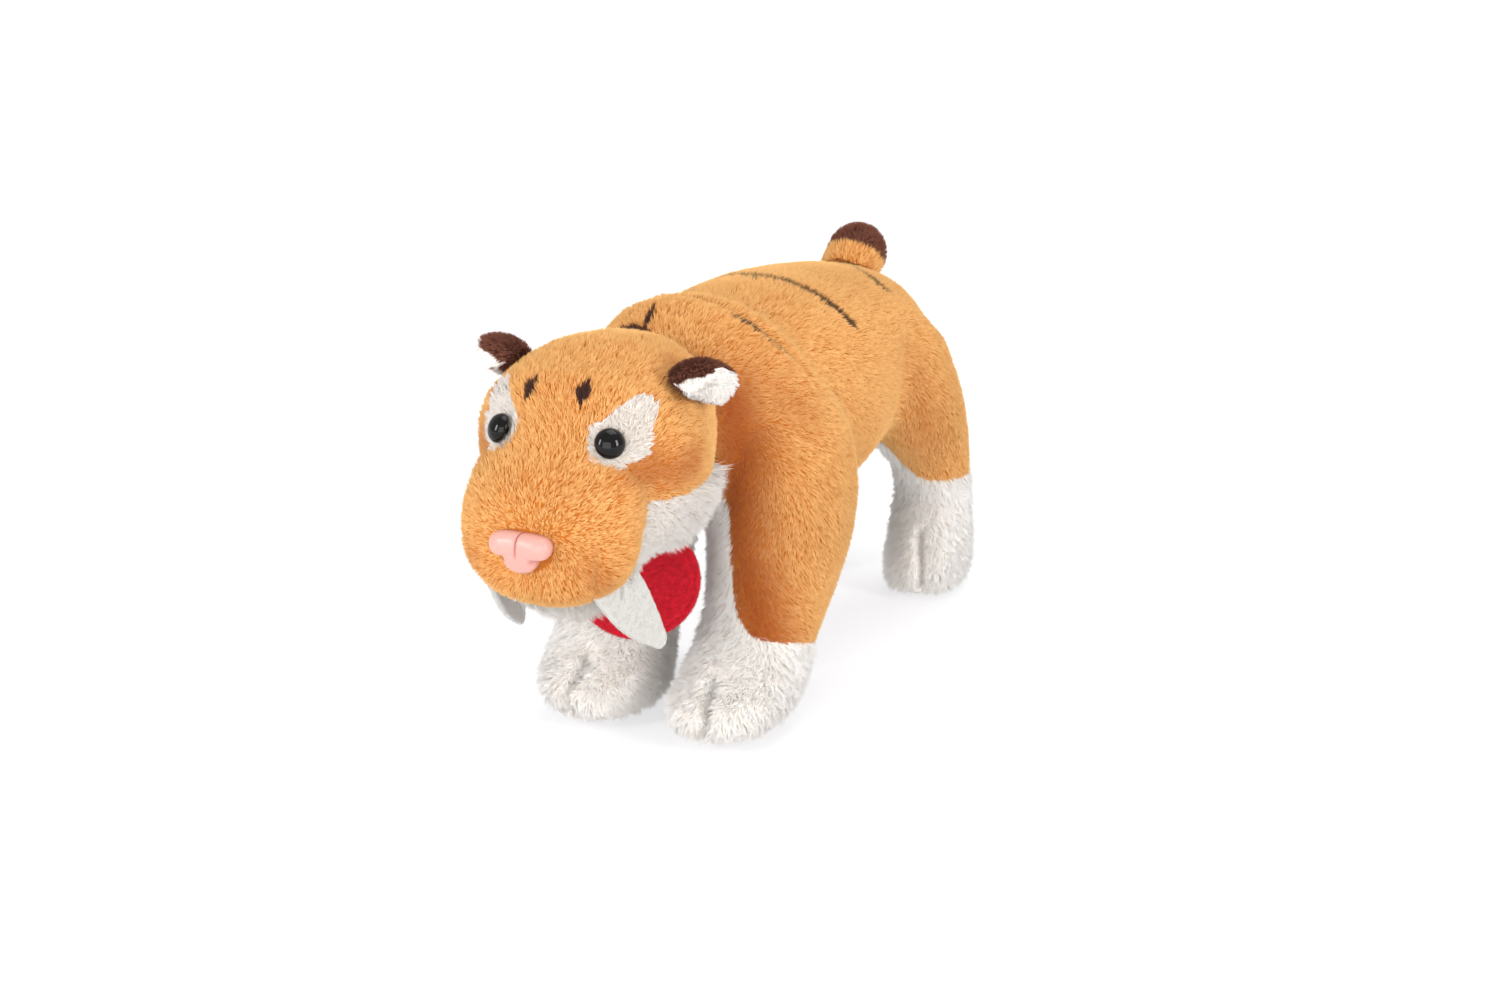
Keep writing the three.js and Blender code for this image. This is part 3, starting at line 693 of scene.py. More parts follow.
def back_with(skin, panels, shares, dark):
    """Colours the knitted ground of a skin panel by panel, and dark under the marks."""
    kinds = pile_kinds()
    # Each panel's knitted ground takes its root colour, the painted shade deep in the pile
    tones = np.array([colour(kinds[kind].ground) for kind in panels.values()])[shares.argmax(1)]
    tones[dark] = colour(bpy.context.scene.plush.mark)
    field = skin.data.attributes.new("ground", "FLOAT_COLOR", "POINT")
    field.data.foreach_set("color", tones.astype(np.float32).ravel())
    skin.data.materials.append(backing_finish())


def tint_property(name, description, default):
    return bpy.props.FloatVectorProperty(name=name, description=description, default=default, size=3,
                                         min=0.0, max=1.0, subtype="COLOR")


def number_property(name, description, default, **more):
    return bpy.props.FloatProperty(name=name, description=description, default=default, **more)


def length_property(name, description, default):
    return number_property(name, description, default, min=0.0, subtype="DISTANCE", unit="LENGTH",
                           precision=5)


class PlushSettings(bpy.types.PropertyGroup):
    """Colours and sizes of the plush."""

    # The root colours are painted shade deep in the pile between the tufts; the tip colours are the pile's
    # own
    golden_root: tint_property("Golden roots", "Golden pile between the tufts", (0.56, 0.175, 0.028))
    golden_tip: tint_property("Golden tips", "Golden pile at the tips", (0.97, 0.60, 0.24))
    # The face's white pile is a painted-shade copy of the white pile, darker so that the well-lit face is no
    # brighter than the paws
    face_shaded_root: tint_property("Face roots", "White pile of the face between the tufts", (0.66, 0.575, 0.50))
    face_shaded_tip: tint_property("Face tips", "White pile of the face at the tips", (0.80, 0.775, 0.745))
    white_root: tint_property("White roots", "White pile between the tufts", (0.84, 0.785, 0.72))
    white_tip: tint_property("White tips", "White pile at the tips", (0.97, 0.96, 0.945))
    brown_root: tint_property("Brown roots", "Brown pile between the tufts", (0.05, 0.016, 0.010))
    brown_tip: tint_property("Brown tips", "Brown pile at the tips", (0.23, 0.088, 0.055))
    mark: tint_property("Marks", "Dark marks in the golden pile", (0.045, 0.020, 0.017))
    golden_length: length_property("Golden pile", "Length of the golden pile", 1.7 * MM)
    white_length: length_property("White pile", "Length of the white pile", 2.6 * MM)
    ruff_length: length_property("Ruff", "Length of the long white pile on the cheeks", 6.6 * MM)
    brown_length: length_property("Brown pile", "Length of the brown pile", 1.7 * MM)
    tuft_width: length_property("Tuft width", "Width of one tuft at its root", 0.33 * MM)
    inset: length_property("Skin depth", "How deep the knitted ground lies under the pile's tips", 1.3 * MM)
    density: number_property("Density", "Tufts in a square millimetre", 7.5, min=0.1)
    filling_pressure: number_property("Filling", "Pressure of the filling on the skin", 8.0, min=0.0)
    filling_reach: length_property("Swelling", "Most that the filling pushes the skin out", 1.5 * MM)


class FaceSettings(bpy.types.PropertyGroup):
    """Colours of the face pieces."""

    eye: tint_property("Eye", "Glossy eye", (0.0022, 0.0018, 0.0017))
    nose: tint_property("Nose", "Soft vinyl nose", (0.60, 0.31, 0.27))
    tooth: tint_property("Tooth", "Smooth felt of the teeth", (0.53, 0.525, 0.51))


class TagSettings(bpy.types.PropertyGroup):
    """Sizes and colours of the hang tag."""

    felt: tint_property("Felt", "Fuzzy felt of the tag", (0.56, 0.004, 0.018))
    thread: tint_property("Thread", "Twisted thread of the loop", (0.80, 0.72, 0.62))
    radius: length_property("Radius", "Radius of the tag", 17.0 * MM)
    thickness: length_property("Thickness", "Thickness of the tag", 1.6 * MM)


class StageSettings(bpy.types.PropertyGroup):
    """Camera and lights."""

    azimuth: number_property("Azimuth", "Camera's turn round the toy", math.radians(25.8), subtype="ANGLE")
    elevation: number_property("Elevation", "Camera's rise over the floor", math.radians(17.8),
                               subtype="ANGLE")
    distance: length_property("Distance", "Camera's distance from the aim", 700.8 * MM)
    aim: bpy.props.FloatVectorProperty(name="Aim", description="Where the camera looks", size=3,
                                       default=(0.0079, -0.0003, 0.0531), subtype="TRANSLATION",
                                       unit="LENGTH")
    lens: number_property("Lens", "Focal length in millimetres", 60.96, min=1.0)
    ambient: number_property("Ambient", "Strength of the white surroundings", 0.70, min=0.0)
    key: number_property("Key light", "Power of the key light", 7.0, min=0.0, subtype="POWER")


def pile_kinds():
    """The kinds of plush on the toy, with their finishes made once."""
    plush = bpy.context.scene.plush
    made = bpy.data.materials
    if "golden plush" not in made:
        plush_finish("golden plush", plush.golden_root, plush.golden_tip, (0.82, 0.62, 0.46), plush.mark)
        plush_finish("white plush", plush.white_root, plush.white_tip, (0.93, 0.88, 0.84))
        # Painted shade: the face pile is the white pile made darker
        plush_finish("face plush", plush.face_shaded_root, plush.face_shaded_tip, (0.93, 0.88, 0.84))
        plush_finish("brown plush", plush.brown_root, plush.brown_tip, (0.6, 0.5, 0.5))
    # Finish, slot, ground and length; shares of the width and the density; lean and swirl in degrees;
    # how many tufts gather, and how closely
    kinds = {
        "golden": ("golden plush", "golden_plush", plush.golden_root, plush.golden_length,
                   1.0, 1.0, 52, 22, 5, 0.45),
        "white": ("white plush", "white_plush", plush.white_root, plush.white_length,
                  1.0, 0.85, 48, 32, 12, 0.68),
        "patch": ("face plush", "white_plush", plush.face_shaded_root, plush.white_length,
                  1.0, 0.85, 48, 32, 12, 0.68),
        "ruff": ("face plush", "white_plush", plush.face_shaded_root, plush.ruff_length,
                 1.1, 1.0, 38, 36, 14, 0.75),
        "brown": ("brown plush", "brown_plush", plush.brown_root, plush.brown_length,
                  1.0, 1.1, 45, 26, 5, 0.4),
    }
    width, density = plush.tuft_width, plush.density
    return {kind: Pile(made[finish], slot, ground, length, width * wide, density * dense, *habit)
            for kind, (finish, slot, ground, length, wide, dense, *habit) in kinds.items()}


def dress(skin, hold, panels, nap, keep, inset, marks=(), brushed=(), stretch=None, owner_of=None,
          rounding=4):
    """Colours a skin's ground and grows the pile of every panel on it, with rounded borders between them."""
    kinds = pile_kinds()
    names = list(panels)
    owner_of = owner_of or (lambda points, normals: nearest_nodes(points + normals * inset, names))
    points = points_of(skin.data)
    owner = owner_of(points, points_of(skin.data, "normal"))
    shares = evened(skin.data, np.eye(len(names))[owner], rounding)
    surface = surface_of(points, triangles_of(skin.data))
    back_with(skin, panels, shares, marked(points, surface, marks, 0, seeded(f"{skin.name}_ground")))
    chance = seeded(skin.name)
    most = max(kinds[kind].density for kind in panels.values())
    roots, normals, shares = scatter(skin.data, most, chance, shares)
    owner = shares.argmax(1)
    kept = keep(roots, normals)

    def markings(roots, tips):
        """Marks and painted shade of the golden pile: a tuft that touches a mark is dark."""
        dark = np.zeros(len(roots), bool)
        for share in (0.0, 0.5, 1.0):
            dark |= marked(roots + (tips - roots) * share, surface, marks, 0.8 * inset * share, chance)
        return {"dark": dark, "brushed": painted_shade_share(roots, brushed)}

    for number, name in enumerate(names):
        pile = kinds[panels[name]]
        sown = chance.random(len(roots)) < pile.density / most
        mine = np.flatnonzero(kept & (owner == number) & sown)
        mine = mine[np.argsort(roots[mine, 1])]
        pieces = math.ceil(len(mine) / MOST_TUFTS)
        for piece, part in enumerate(np.array_split(mine, pieces)):
            places, ups = roots[part], normals[part]
            fields = markings if panels[name] == "golden" else None
            longer = stretch(name, places, ups) if stretch else None
            label = f"{name}_pile" if pieces == 1 else f"{name}_pile_{piece + 1}"
            grow(label, hold, pile, places, ups, nap(name, places, ups), chance, longer, fields)


class PLUSH_OT_stage(bpy.types.Operator):
    """Sets up the floor, the soft light and the camera"""
    bl_idname = "plush.stage"
    bl_label = "Stage"

    def execute(self, context):
        scene = context.scene
        stage = scene.stage
        scene.view_settings.view_transform = "Standard"
        world = bpy.data.worlds.new("white surroundings")
        world.use_nodes = True
        around = world.node_tree.nodes["Background"].inputs
        around["Color"].default_value = WHITE
        around["Strength"].default_value = stage.ambient
        scene.world = world
        self.floor()
        aim = Vector(stage.aim)
        self.light("key light", aim, (-0.60, -0.95, 0.45), (0.25, 0.60), stage.key)
        self.light("side light", aim, (1.10, -0.20, 0.40), (0.25, 0.60), stage.key)
        self.light("front light", aim, (0.35, -1.15, 0.12), (1.10, 1.10), stage.key * 1.6)
        self.light("top light", aim, (0.1, 0.30, 1.1), (0.80, 0.80), stage.key * 0.7)
        self.camera(scene, stage, aim)
        return {"FINISHED"}

    def floor(self):
        """A wide white floor that glows as painted light, a little less near the toy, so that its shadow
        shows.
        """
        finish = Finish("white floor", Roughness=0.7, Specular_IOR_Level=0.2, Emission_Strength=0.8)
        grain = finish.noise(3.0)
        away = finish.add("ShaderNodeVectorMath", {"operation": "LENGTH"}, {0: finish.place()}, "Value")
        # Painted light: the floor's own glow, dimmed near the toy
        painted_glow = ((away - 0.10) * 2.0).clamped()
        material = finish.paint(
            Base_Color=finish.mix(grain, (0.42, 0.42, 0.425, 1.0), (0.45, 0.45, 0.45, 1.0)),
            Emission_Color=finish.mix(painted_glow, (0.72, 0.72, 0.73, 1.0), WHITE))

        def grid(shape):
            bmesh.ops.create_grid(shape, x_segments=8, y_segments=8, size=12.0)

        floor = new_object("floor", drawn("floor", grid), material)

    def light(self, name, aim, offset, size, power):
        lamp = bpy.data.lights.new(name, "AREA")
        lamp.shape = "RECTANGLE"
        lamp.size, lamp.size_y = size
        lamp.energy = power
        obj = new_object(name, lamp)
        obj.location = aim + Vector(offset)
        obj.rotation_euler = (-Vector(offset)).to_track_quat("-Z", "Y").to_euler()

    def camera(self, scene, stage, aim):
        lens = bpy.data.cameras.new("camera")
        lens.lens = stage.lens
        lens.sensor_width = 36.0
        lens.clip_start = 0.01
        obj = new_object("camera", lens)
        turn, rise = stage.azimuth, stage.elevation
        back = Vector((math.sin(turn) * math.cos(rise), -math.cos(turn) * math.cos(rise), math.sin(rise)))
        obj.location = aim + back * stage.distance
        obj.rotation_euler = (-back).to_track_quat("-Z", "Y").to_euler()
        scene.camera = obj


class PLUSH_OT_body(bpy.types.Operator):
    """Makes the stuffed trunk and legs with their pile"""
    bl_idname = "plush.body"
    bl_label = "Trunk and legs"

    def execute(self, context):
        plush = context.scene.plush
        nodes = [*BODY_PANELS, *BODY_FILLINGS]

        def rest(points):
            return smooth_step(2 * MM, 12 * MM, points[:, 2])

        skin = stuffed_skin("body_skin", nodes, BODY_VOXEL * MM, rest)
        settle(skin, 6, both_sides(*BODY_GROOVES), plush.inset)
        hold = riding("body")
        put_on(skin, hold, "golden_plush", *nodes)

        def keep(roots, normals):
            """Leaves bare what the head's socket covers, but not the chest."""
            away = roots - NECK
            far = np.linalg.norm(away, axis=1)
            inside = (far < (NECK_RADIUS - 2) * MM) & ((away * normals).sum(1) < -0.2 * far)
            return ~inside | (away[:, 1] < -12 * MM)

        dress(skin, hold, BODY_PANELS, self.nap, keep, plush.inset, BACK_MARKS, PAINTED_SHADE_BODY,
              self.stretch, rounding=60)
        return {"FINISHED"}

    def nap(self, name, places, ups):
        if name == "back_cover":
            way = np.array([0, 1.0, 0]) + np.abs(places[:, 0:1]) / 0.03 * np.array([0, 0, -0.8])
        elif name == "belly_gusset":
            way = np.tile([0.0, 1.0, -0.2], (len(places), 1))
        elif name.endswith("leg"):
            way = np.tile([0.0, 0.35, -1.0], (len(places), 1))
        else:
            top = smooth_step(0.2, 0.8, ups[:, 2:3])
            way = np.array([0.0, 0.1, -1.0]) + top * np.array([0, -1.2, 0])
        return swirled(places, way, 9 * MM, 0.35)

    def stretch(self, name, places, ups):
        under = smooth_step(0.55, 0.85, -ups[:, 2]) * smooth_step(8 * MM, 4 * MM, places[:, 2])
        if not name.endswith("paw"):
            return 1 - 0.6 * under
        slit = np.full(len(places), np.inf)
        for path, *_ in both_sides(*BODY_GROOVES[:2]):
            slit = np.minimum(slit, from_path(places, spot(path))[0])
        return (0.45 + 0.85 * smooth_step(2.0 * MM, 5.0 * MM, slit)) * (1 - 0.65 * under)


class PLUSH_OT_head(bpy.types.Operator):
    """Makes the stuffed head with its pile"""
    bl_idname = "plush.head"
    bl_label = "Head"

    def execute(self, context):
        plush = context.scene.plush
        nodes = [*HEAD_PANELS, "head_filling"]

        def rest(points):
            return smooth_step(-50 * MM, -60 * MM, points[:, 1])

        skin = stuffed_skin("head_skin", nodes, HEAD_VOXEL * MM, rest)
        settle(skin, 2, both_sides(*HEAD_GROOVES), plush.inset)
        hold = riding("head")
        put_on(skin, hold, "golden_plush", *nodes)
        eyes = [spot(EYE), spot(EYE) * (-1, 1, 1)]
        nose = spot(NOSE)

        def keep(roots, normals):
            """Leaves bare the socket, and the places under the eyes and the nose."""
            free = np.linalg.norm(roots - NECK, axis=1) > (NECK_RADIUS + 1.5) * MM
            for eye in eyes:
                free &= np.linalg.norm(roots - eye, axis=1) > (EYE_RADIUS - 0.1) * MM
            return free & ((np.linalg.norm((roots - nose) * (1, 0.3, 1.45), axis=1) > 7.6 * MM)
                           | (roots[:, 1] > nose[1] + 5 * MM))

        dress(skin, hold, HEAD_PANELS, self.nap, keep, plush.inset, HEAD_MARKS, PAINTED_SHADE_HEAD,
              self.stretch, self.panel)
        return {"FINISHED"}

    def panel(self, points, normals):
        """The panel at each point, with a level golden border on the cheek and the eye patches cut short."""
        names = list(HEAD_PANELS)
        owner = nearest_nodes(points + normals * bpy.context.scene.plush.inset, names)
        face, jaw = names.index("face_cover"), names.index("jaw_cover")
        aside, y, z = np.abs(points[:, 0]), points[:, 1], points[:, 2]
        cheek = (z > CHEEK_BORDER * MM) & (aside > 10 * MM) & (y > -85 * MM) & (owner == jaw)
        past_patch = (aside > PATCH_REACH * MM) & (owner > jaw)
        owner[cheek | past_patch] = face
        return owner

    def nap(self, name, places, ups):
        if name.endswith("patch"):
            eye = spot(EYE) * (1 if name.startswith("left") else -1, 1, 1)
            way = unit(places - eye) + np.array([0, 0.5, 0.2])
        elif name == "jaw_cover":
            way = unit(places - spot(NOSE) + spot((0, 0, -10))) + np.array([0, 0.2, -0.7])
        else:
            way = unit(places - spot(NOSE)) + np.array([0, 0.5, 0])
        return swirled(places, way, 8 * MM, 0.3)

    def stretch(self, name, places, ups):
        if name == "jaw_cover":
            x, y, z = places.T
            cheek = smooth_step(-80 * MM, -68 * MM, y) * smooth_step(11 * MM, 19 * MM, np.abs(x))
            chin = smooth_step(70 * MM, 58 * MM, z) * smooth_step(-76 * MM, -84 * MM, y)
            return 0.34 + np.maximum(0.66 * cheek, 0.36 * chin)
        if name.endswith("patch"):
            return np.full(len(places), 0.65)
        near = np.linalg.norm(places - spot(NOSE), axis=1)
        return 0.7 + 0.3 * smooth_step(8 * MM, 24 * MM, near)


class PLUSH_OT_tail(bpy.types.Operator):
    """Makes the stub tail with its pile"""
    bl_idname = "plush.tail"
    bl_label = "Tail"

    def execute(self, context):
        plush = context.scene.plush
        nodes = [*TAIL_PANELS, "tail_filling"]
        inset = plush.inset * 0.8
        skin = stuffed_skin("tail_skin", nodes, TAIL_VOXEL * MM, lambda points: np.ones(len(points)))
        settle(skin, 3, [], inset)
        way = np.array(TAIL_WAY)
        self.sew_in(skin.data, way)

        def hold(obj):
            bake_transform(obj)

        put_on(skin, hold, "golden_plush", *nodes)

        def keep(roots, normals):
            return (roots - TAIL_ROOT) @ way > -4 * MM

        def nap(name, places, ups):
            return swirled(places, np.tile(way, (len(places), 1)), 6 * MM, 0.3)

        dress(skin, hold, TAIL_PANELS, nap, keep, inset)
        return {"FINISHED"}

    def sew_in(self, mesh, way):
        """Widens the tail's root and draws it down into the rump."""
        points = points_of(mesh)
        along = (points - TAIL_ROOT) @ way
        axis = TAIL_ROOT + along[:, None] * way
        near = smooth_step(5 * MM, -1 * MM, along)[:, None]
        points = axis + (points - axis) * (1 + 0.10 * near) - way * 4 * MM * near
        move_points(mesh, points)


class PLUSH_OT_ears(bpy.types.Operator):
    """Makes the two ears, brown behind and white in the cup"""
    bl_idname = "plush.ears"
    bl_label = "Ears"

    def execute(self, context):
        inset = 0.5 * MM
        for side, sign in SIDES.items():
            panels = {f"{side}_ear_back": "brown", f"{side}_ear_lining": "white"}
            skin = stuffed_skin(f"{side}_ear_skin", list(panels), EAR_VOXEL * MM,
                                lambda points: np.full(len(points), 0.4), filled=True)
            settle(skin, 4, [], inset)
            root = EAR_ROOT * (sign, 1, 1)
            facing = np.array(EAR_FACING) * (sign, 1, 1)
            way = unit(points_of(skin.data).mean(0) - root)

            def hold(obj):
                tuple(root + way * EAR_BEND * MM)
                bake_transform(obj)

            put_on(skin, hold, "brown_plush", *panels)

            def nap(name, places, ups):
                return swirled(places, unit(places - root), 6 * MM, 0.3)

            def keep(roots, normals):
                return np.full(len(roots), True)

            def shorter(name, places, ups):
                return np.full(len(places), 0.5 if name.endswith("lining") else 0.8)

            def front_or_back(points, normals):
                return (normals @ facing > 0.05).astype(int)

            dress(skin, hold, panels, nap, keep, inset, stretch=shorter, owner_of=front_or_back)
        return {"FINISHED"}


class PLUSH_OT_eyes(bpy.types.Operator):
    """Makes the two glossy eyes"""
    bl_idname = "plush.eyes"
    bl_label = "Eyes"

    def execute(self, context):
        finish = Finish("glossy eye", Specular_IOR_Level=0.35, IOR=1.4)
        depth = finish.noise(220.0)
        tone = context.scene.face.eye
        black = finish.mix(depth, colour(tone), colour([value * 1.8 for value in tone]))
        material = finish.paint(Base_Color=black, Roughness=depth * 0.05 + 0.03)
        turn = np.array(Vector(EYE_LOOK).to_track_quat("Z", "Y").to_matrix())
        points, triangles = lathe(self.profile(), 56)
        points = points @ turn.T + spot(EYE)
        for side, sign in SIDES.items():
            name = f"{side}_eye_dome"
            facing_out = triangles if sign > 0 else triangles[:, ::-1]
            eye = new_object(name, mesh_from(name, points * (sign, 1, 1), facing_out), material)
            put_on(eye, riding("head"), "black_eye", f"{side}_eye")
        return {"FINISHED"}

    def profile(self):
        """Radius and height of the dome, from its middle round the rim to its flat back."""
        rows = [(EYE_RADIUS * math.sin(turn), EYE_DOME * math.cos(turn) - 0.8)
                for turn in np.linspace(0, math.pi / 2, 15)]
        rows += [(EYE_RADIUS * 0.97, -1.0), (EYE_RADIUS * 0.85, -1.25), (1.2, -1.3), (1.15, -3.2),
                 (0, -3.2)]
        return np.array(rows) * MM


def lathe(profile, steps):
    """A surface of revolution about Z from rows of radius and height, closed at both ends."""
    angles = np.linspace(0, 2 * math.pi, steps, endpoint=False)
    rings = [np.stack([r * np.cos(angles), r * np.sin(angles), np.full(steps, h)], axis=1)
             for r, h in profile[1:-1]]
    points = np.concatenate([[[0, 0, profile[0][1]]], *rings, [[0, 0, profile[-1][1]]]])
    return points, ring_faces(steps, len(rings))


def ring_faces(steps, rings):
    """The triangles of a closed form: a first point, rings of points and a last point."""
    here, ahead = np.arange(steps), (np.arange(steps) + 1) % steps
    faces = [np.stack([np.zeros(steps, int), 1 + here, 1 + ahead], axis=1)]
    for ring in range(rings - 1):
        low, high = 1 + ring * steps, 1 + (ring + 1) * steps
        faces.append(np.stack([low + here, high + here, high + ahead], axis=1))
        faces.append(np.stack([low + here, high + ahead, low + ahead], axis=1))
    last, end = 1 + (rings - 1) * steps, 1 + rings * steps
    faces.append(np.stack([last + here, np.full(steps, end), last + ahead], axis=1))
    return np.concatenate(faces)


class PLUSH_OT_nose(bpy.types.Operator):
    """Makes the moulded nose"""
    bl_idname = "plush.nose"
    bl_label = "Nose"

    def execute(self, context):
        tone = context.scene.face.nose
        finish = Finish("soft pink vinyl", Specular_IOR_Level=0.4, Subsurface_Weight=0.15,
                        Subsurface_Scale=0.002, Coat_Weight=0.15, Coat_Roughness=0.3)
        cloud = finish.noise(150.0)
        grain = finish.noise(1600.0, 2.0)
        deep = finish.attribute("deep")
        # Painted shade: the groove and the nostrils are coloured darker
        pink = finish.mix((cloud * 0.3 + deep * 0.8).clamped(), colour(tone),
                          colour((tone[0] * 0.80, tone[1] * 0.62, tone[2] * 0.58)))
        material = finish.paint(Base_Color=pink, Roughness=cloud * 0.15 + 0.3,
                                Normal=finish.bump(grain, 0.12, 0.0002))
        points, triangles, deep = self.shape()
        mesh = mesh_from("moulded_nose", points, triangles)
        write_field(mesh, "deep", deep)
        nose = new_object("moulded_nose", mesh, material)
        put_on(nose, riding("head"), "pink_vinyl", "nose")
        return {"FINISHED"}

    def outline(self):
        """The nose's outline as a smooth closed curve through its corners."""
        half = np.array(NOSE_HALF, float)
        loop = np.concatenate([half, half[-2:0:-1] * (-1, 1)])
        before, after, later = (np.roll(loop, shift, axis=0) for shift in (1, -1, -2))
        rows = []
        for t in np.linspace(0, 1, 6, endpoint=False):
            rows.append(0.5 * (2 * loop + (after - before) * t
                               + (2 * before - 5 * loop + 4 * after - later) * t**2
                               + (3 * loop - before - 3 * after + later) * t**3))
        return np.stack(rows, axis=1).reshape(-1, 2)[::-1]

    def shape(self):
        """Points and triangles of a dome over the outline, and how deep each point lies in the groove and
        the nostrils, where the finish paints shade.
        """
        edge = self.outline()
        steps, rings = len(edge), 26
        rows = np.linspace(0, 1, rings + 1)[1:]
        heart = np.array([0, NOSE_HEART])
        flat = np.concatenate([[heart], *(heart + (edge - heart) * row for row in rows)])
        share = np.concatenate([[0], np.repeat(rows, steps)])
        x, z = flat.T
        dome = 2.1 * np.sqrt(np.clip(1 - share**6, 0, 1)) + 0.5 * (1 - share**2)
        groove = bell(x, 0.28) * smooth_step(-2.0, 0.5, z)
        aside = np.abs(x) - 4.2
        nostril = np.exp(-((aside / 0.9) ** 2) - ((z + 1.6 - 0.25 * aside) / 0.6) ** 2)
        lobes = 0.35 * np.exp(-(((np.abs(x) - 5.2) / 2.6) ** 2) - ((z - 1.6) / 2.6) ** 2)
        height = 0.9 + dome + lobes - 0.45 * groove - 0.9 * nostril - 0.02 * z**2
        # Where the nose gets its painted shade
        deep = np.clip(groove + nostril, 0, 1)
        front = np.stack([flat[:, 0], -height, flat[:, 1]], axis=1)
        back = np.stack([edge[:, 0] * 0.93, np.full(steps, 3.0), edge[:, 1] * 0.93], axis=1)
        points = np.concatenate([front, back, [[0, 3.0, 0]]])
        deep = np.concatenate([deep, np.zeros(steps + 1)])
        return points * MM + spot(NOSE), ring_faces(steps, rings + 1), deep


class PLUSH_OT_teeth(bpy.types.Operator):
    """Makes the two felt sabre teeth"""
    bl_idname = "plush.teeth"
    bl_label = "Teeth"

    def execute(self, context):
        material = felt_finish("white felt", context.scene.face.tooth, (0.86, 0.82, 0.76))
        for side in SIDES:
            node, name = f"{side}_tooth", f"{side}_felt_tooth"
            points, triangles, _ = joined_nodes([node])
            tooth = remeshed(new_object(name, mesh_from(name, points, triangles)), TOOTH_VOXEL * MM)
            settle(tooth, 4, [], 0.0)
            root = joint_point(f"{side}_tooth_bend")
            way = self.tuck_in(tooth.data, root)
            tooth.data.materials.append(material)

            def hold(obj):
                tuple(root + way * TOOTH_BEND * MM)
                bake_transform(obj)

            put_on(tooth, hold, "white_felt", node)
            fuzz = fuzz_on(tooth, f"{side}_tooth_fuzz", hold, material, "white_felt", 0.5 * MM, 5.0)
        return {"FINISHED"}

    def tuck_in(self, mesh, root):
        """Draws a tooth's sewn end up under the lip, and tells which way the tooth points."""
        points = points_of(mesh)
        tip = points[np.linalg.norm(points - root, axis=1).argmax()]
        way = unit(tip - root)
        near = smooth_step(6 * MM, 0, (points - root) @ way)
        points = points - way * TOOTH_TUCK * MM * near[:, None]
        move_points(mesh, points)
        return way


def felt_finish(name, tone, deep):
    """Matted fibres with a soft surface."""
    finish = Finish(name, Roughness=0.92, Specular_IOR_Level=0.12, Sheen_Weight=0.3, Sheen_Roughness=0.5)
    fibres = finish.noise(1400.0, 4.0, 0.7)
    clouds = finish.noise(650.0)
    shade = (tone[0] * deep[0], tone[1] * deep[1], tone[2] * deep[2])
    felt = finish.mix((fibres * 1.2 + clouds * 1.4 - 0.8).clamped(), colour(shade), colour(tone))
    return finish.paint(Base_Color=felt, Normal=finish.bump(fibres, 0.5, 0.0003))


def fuzz_on(obj, name, hold, material, slot, length, density):
    """Short loose fibres standing on felt."""
    chance = seeded(name)
    pile = Pile(material, slot, None, length, 0.14 * MM, density, 55, 180, 4, 0.2)
    roots, normals = scatter(obj.data, density, chance)
    naps = np.cross(normals, chance.normal(size=(len(roots), 3)))
    return grow(name, hold, pile, roots, normals, naps, chance)


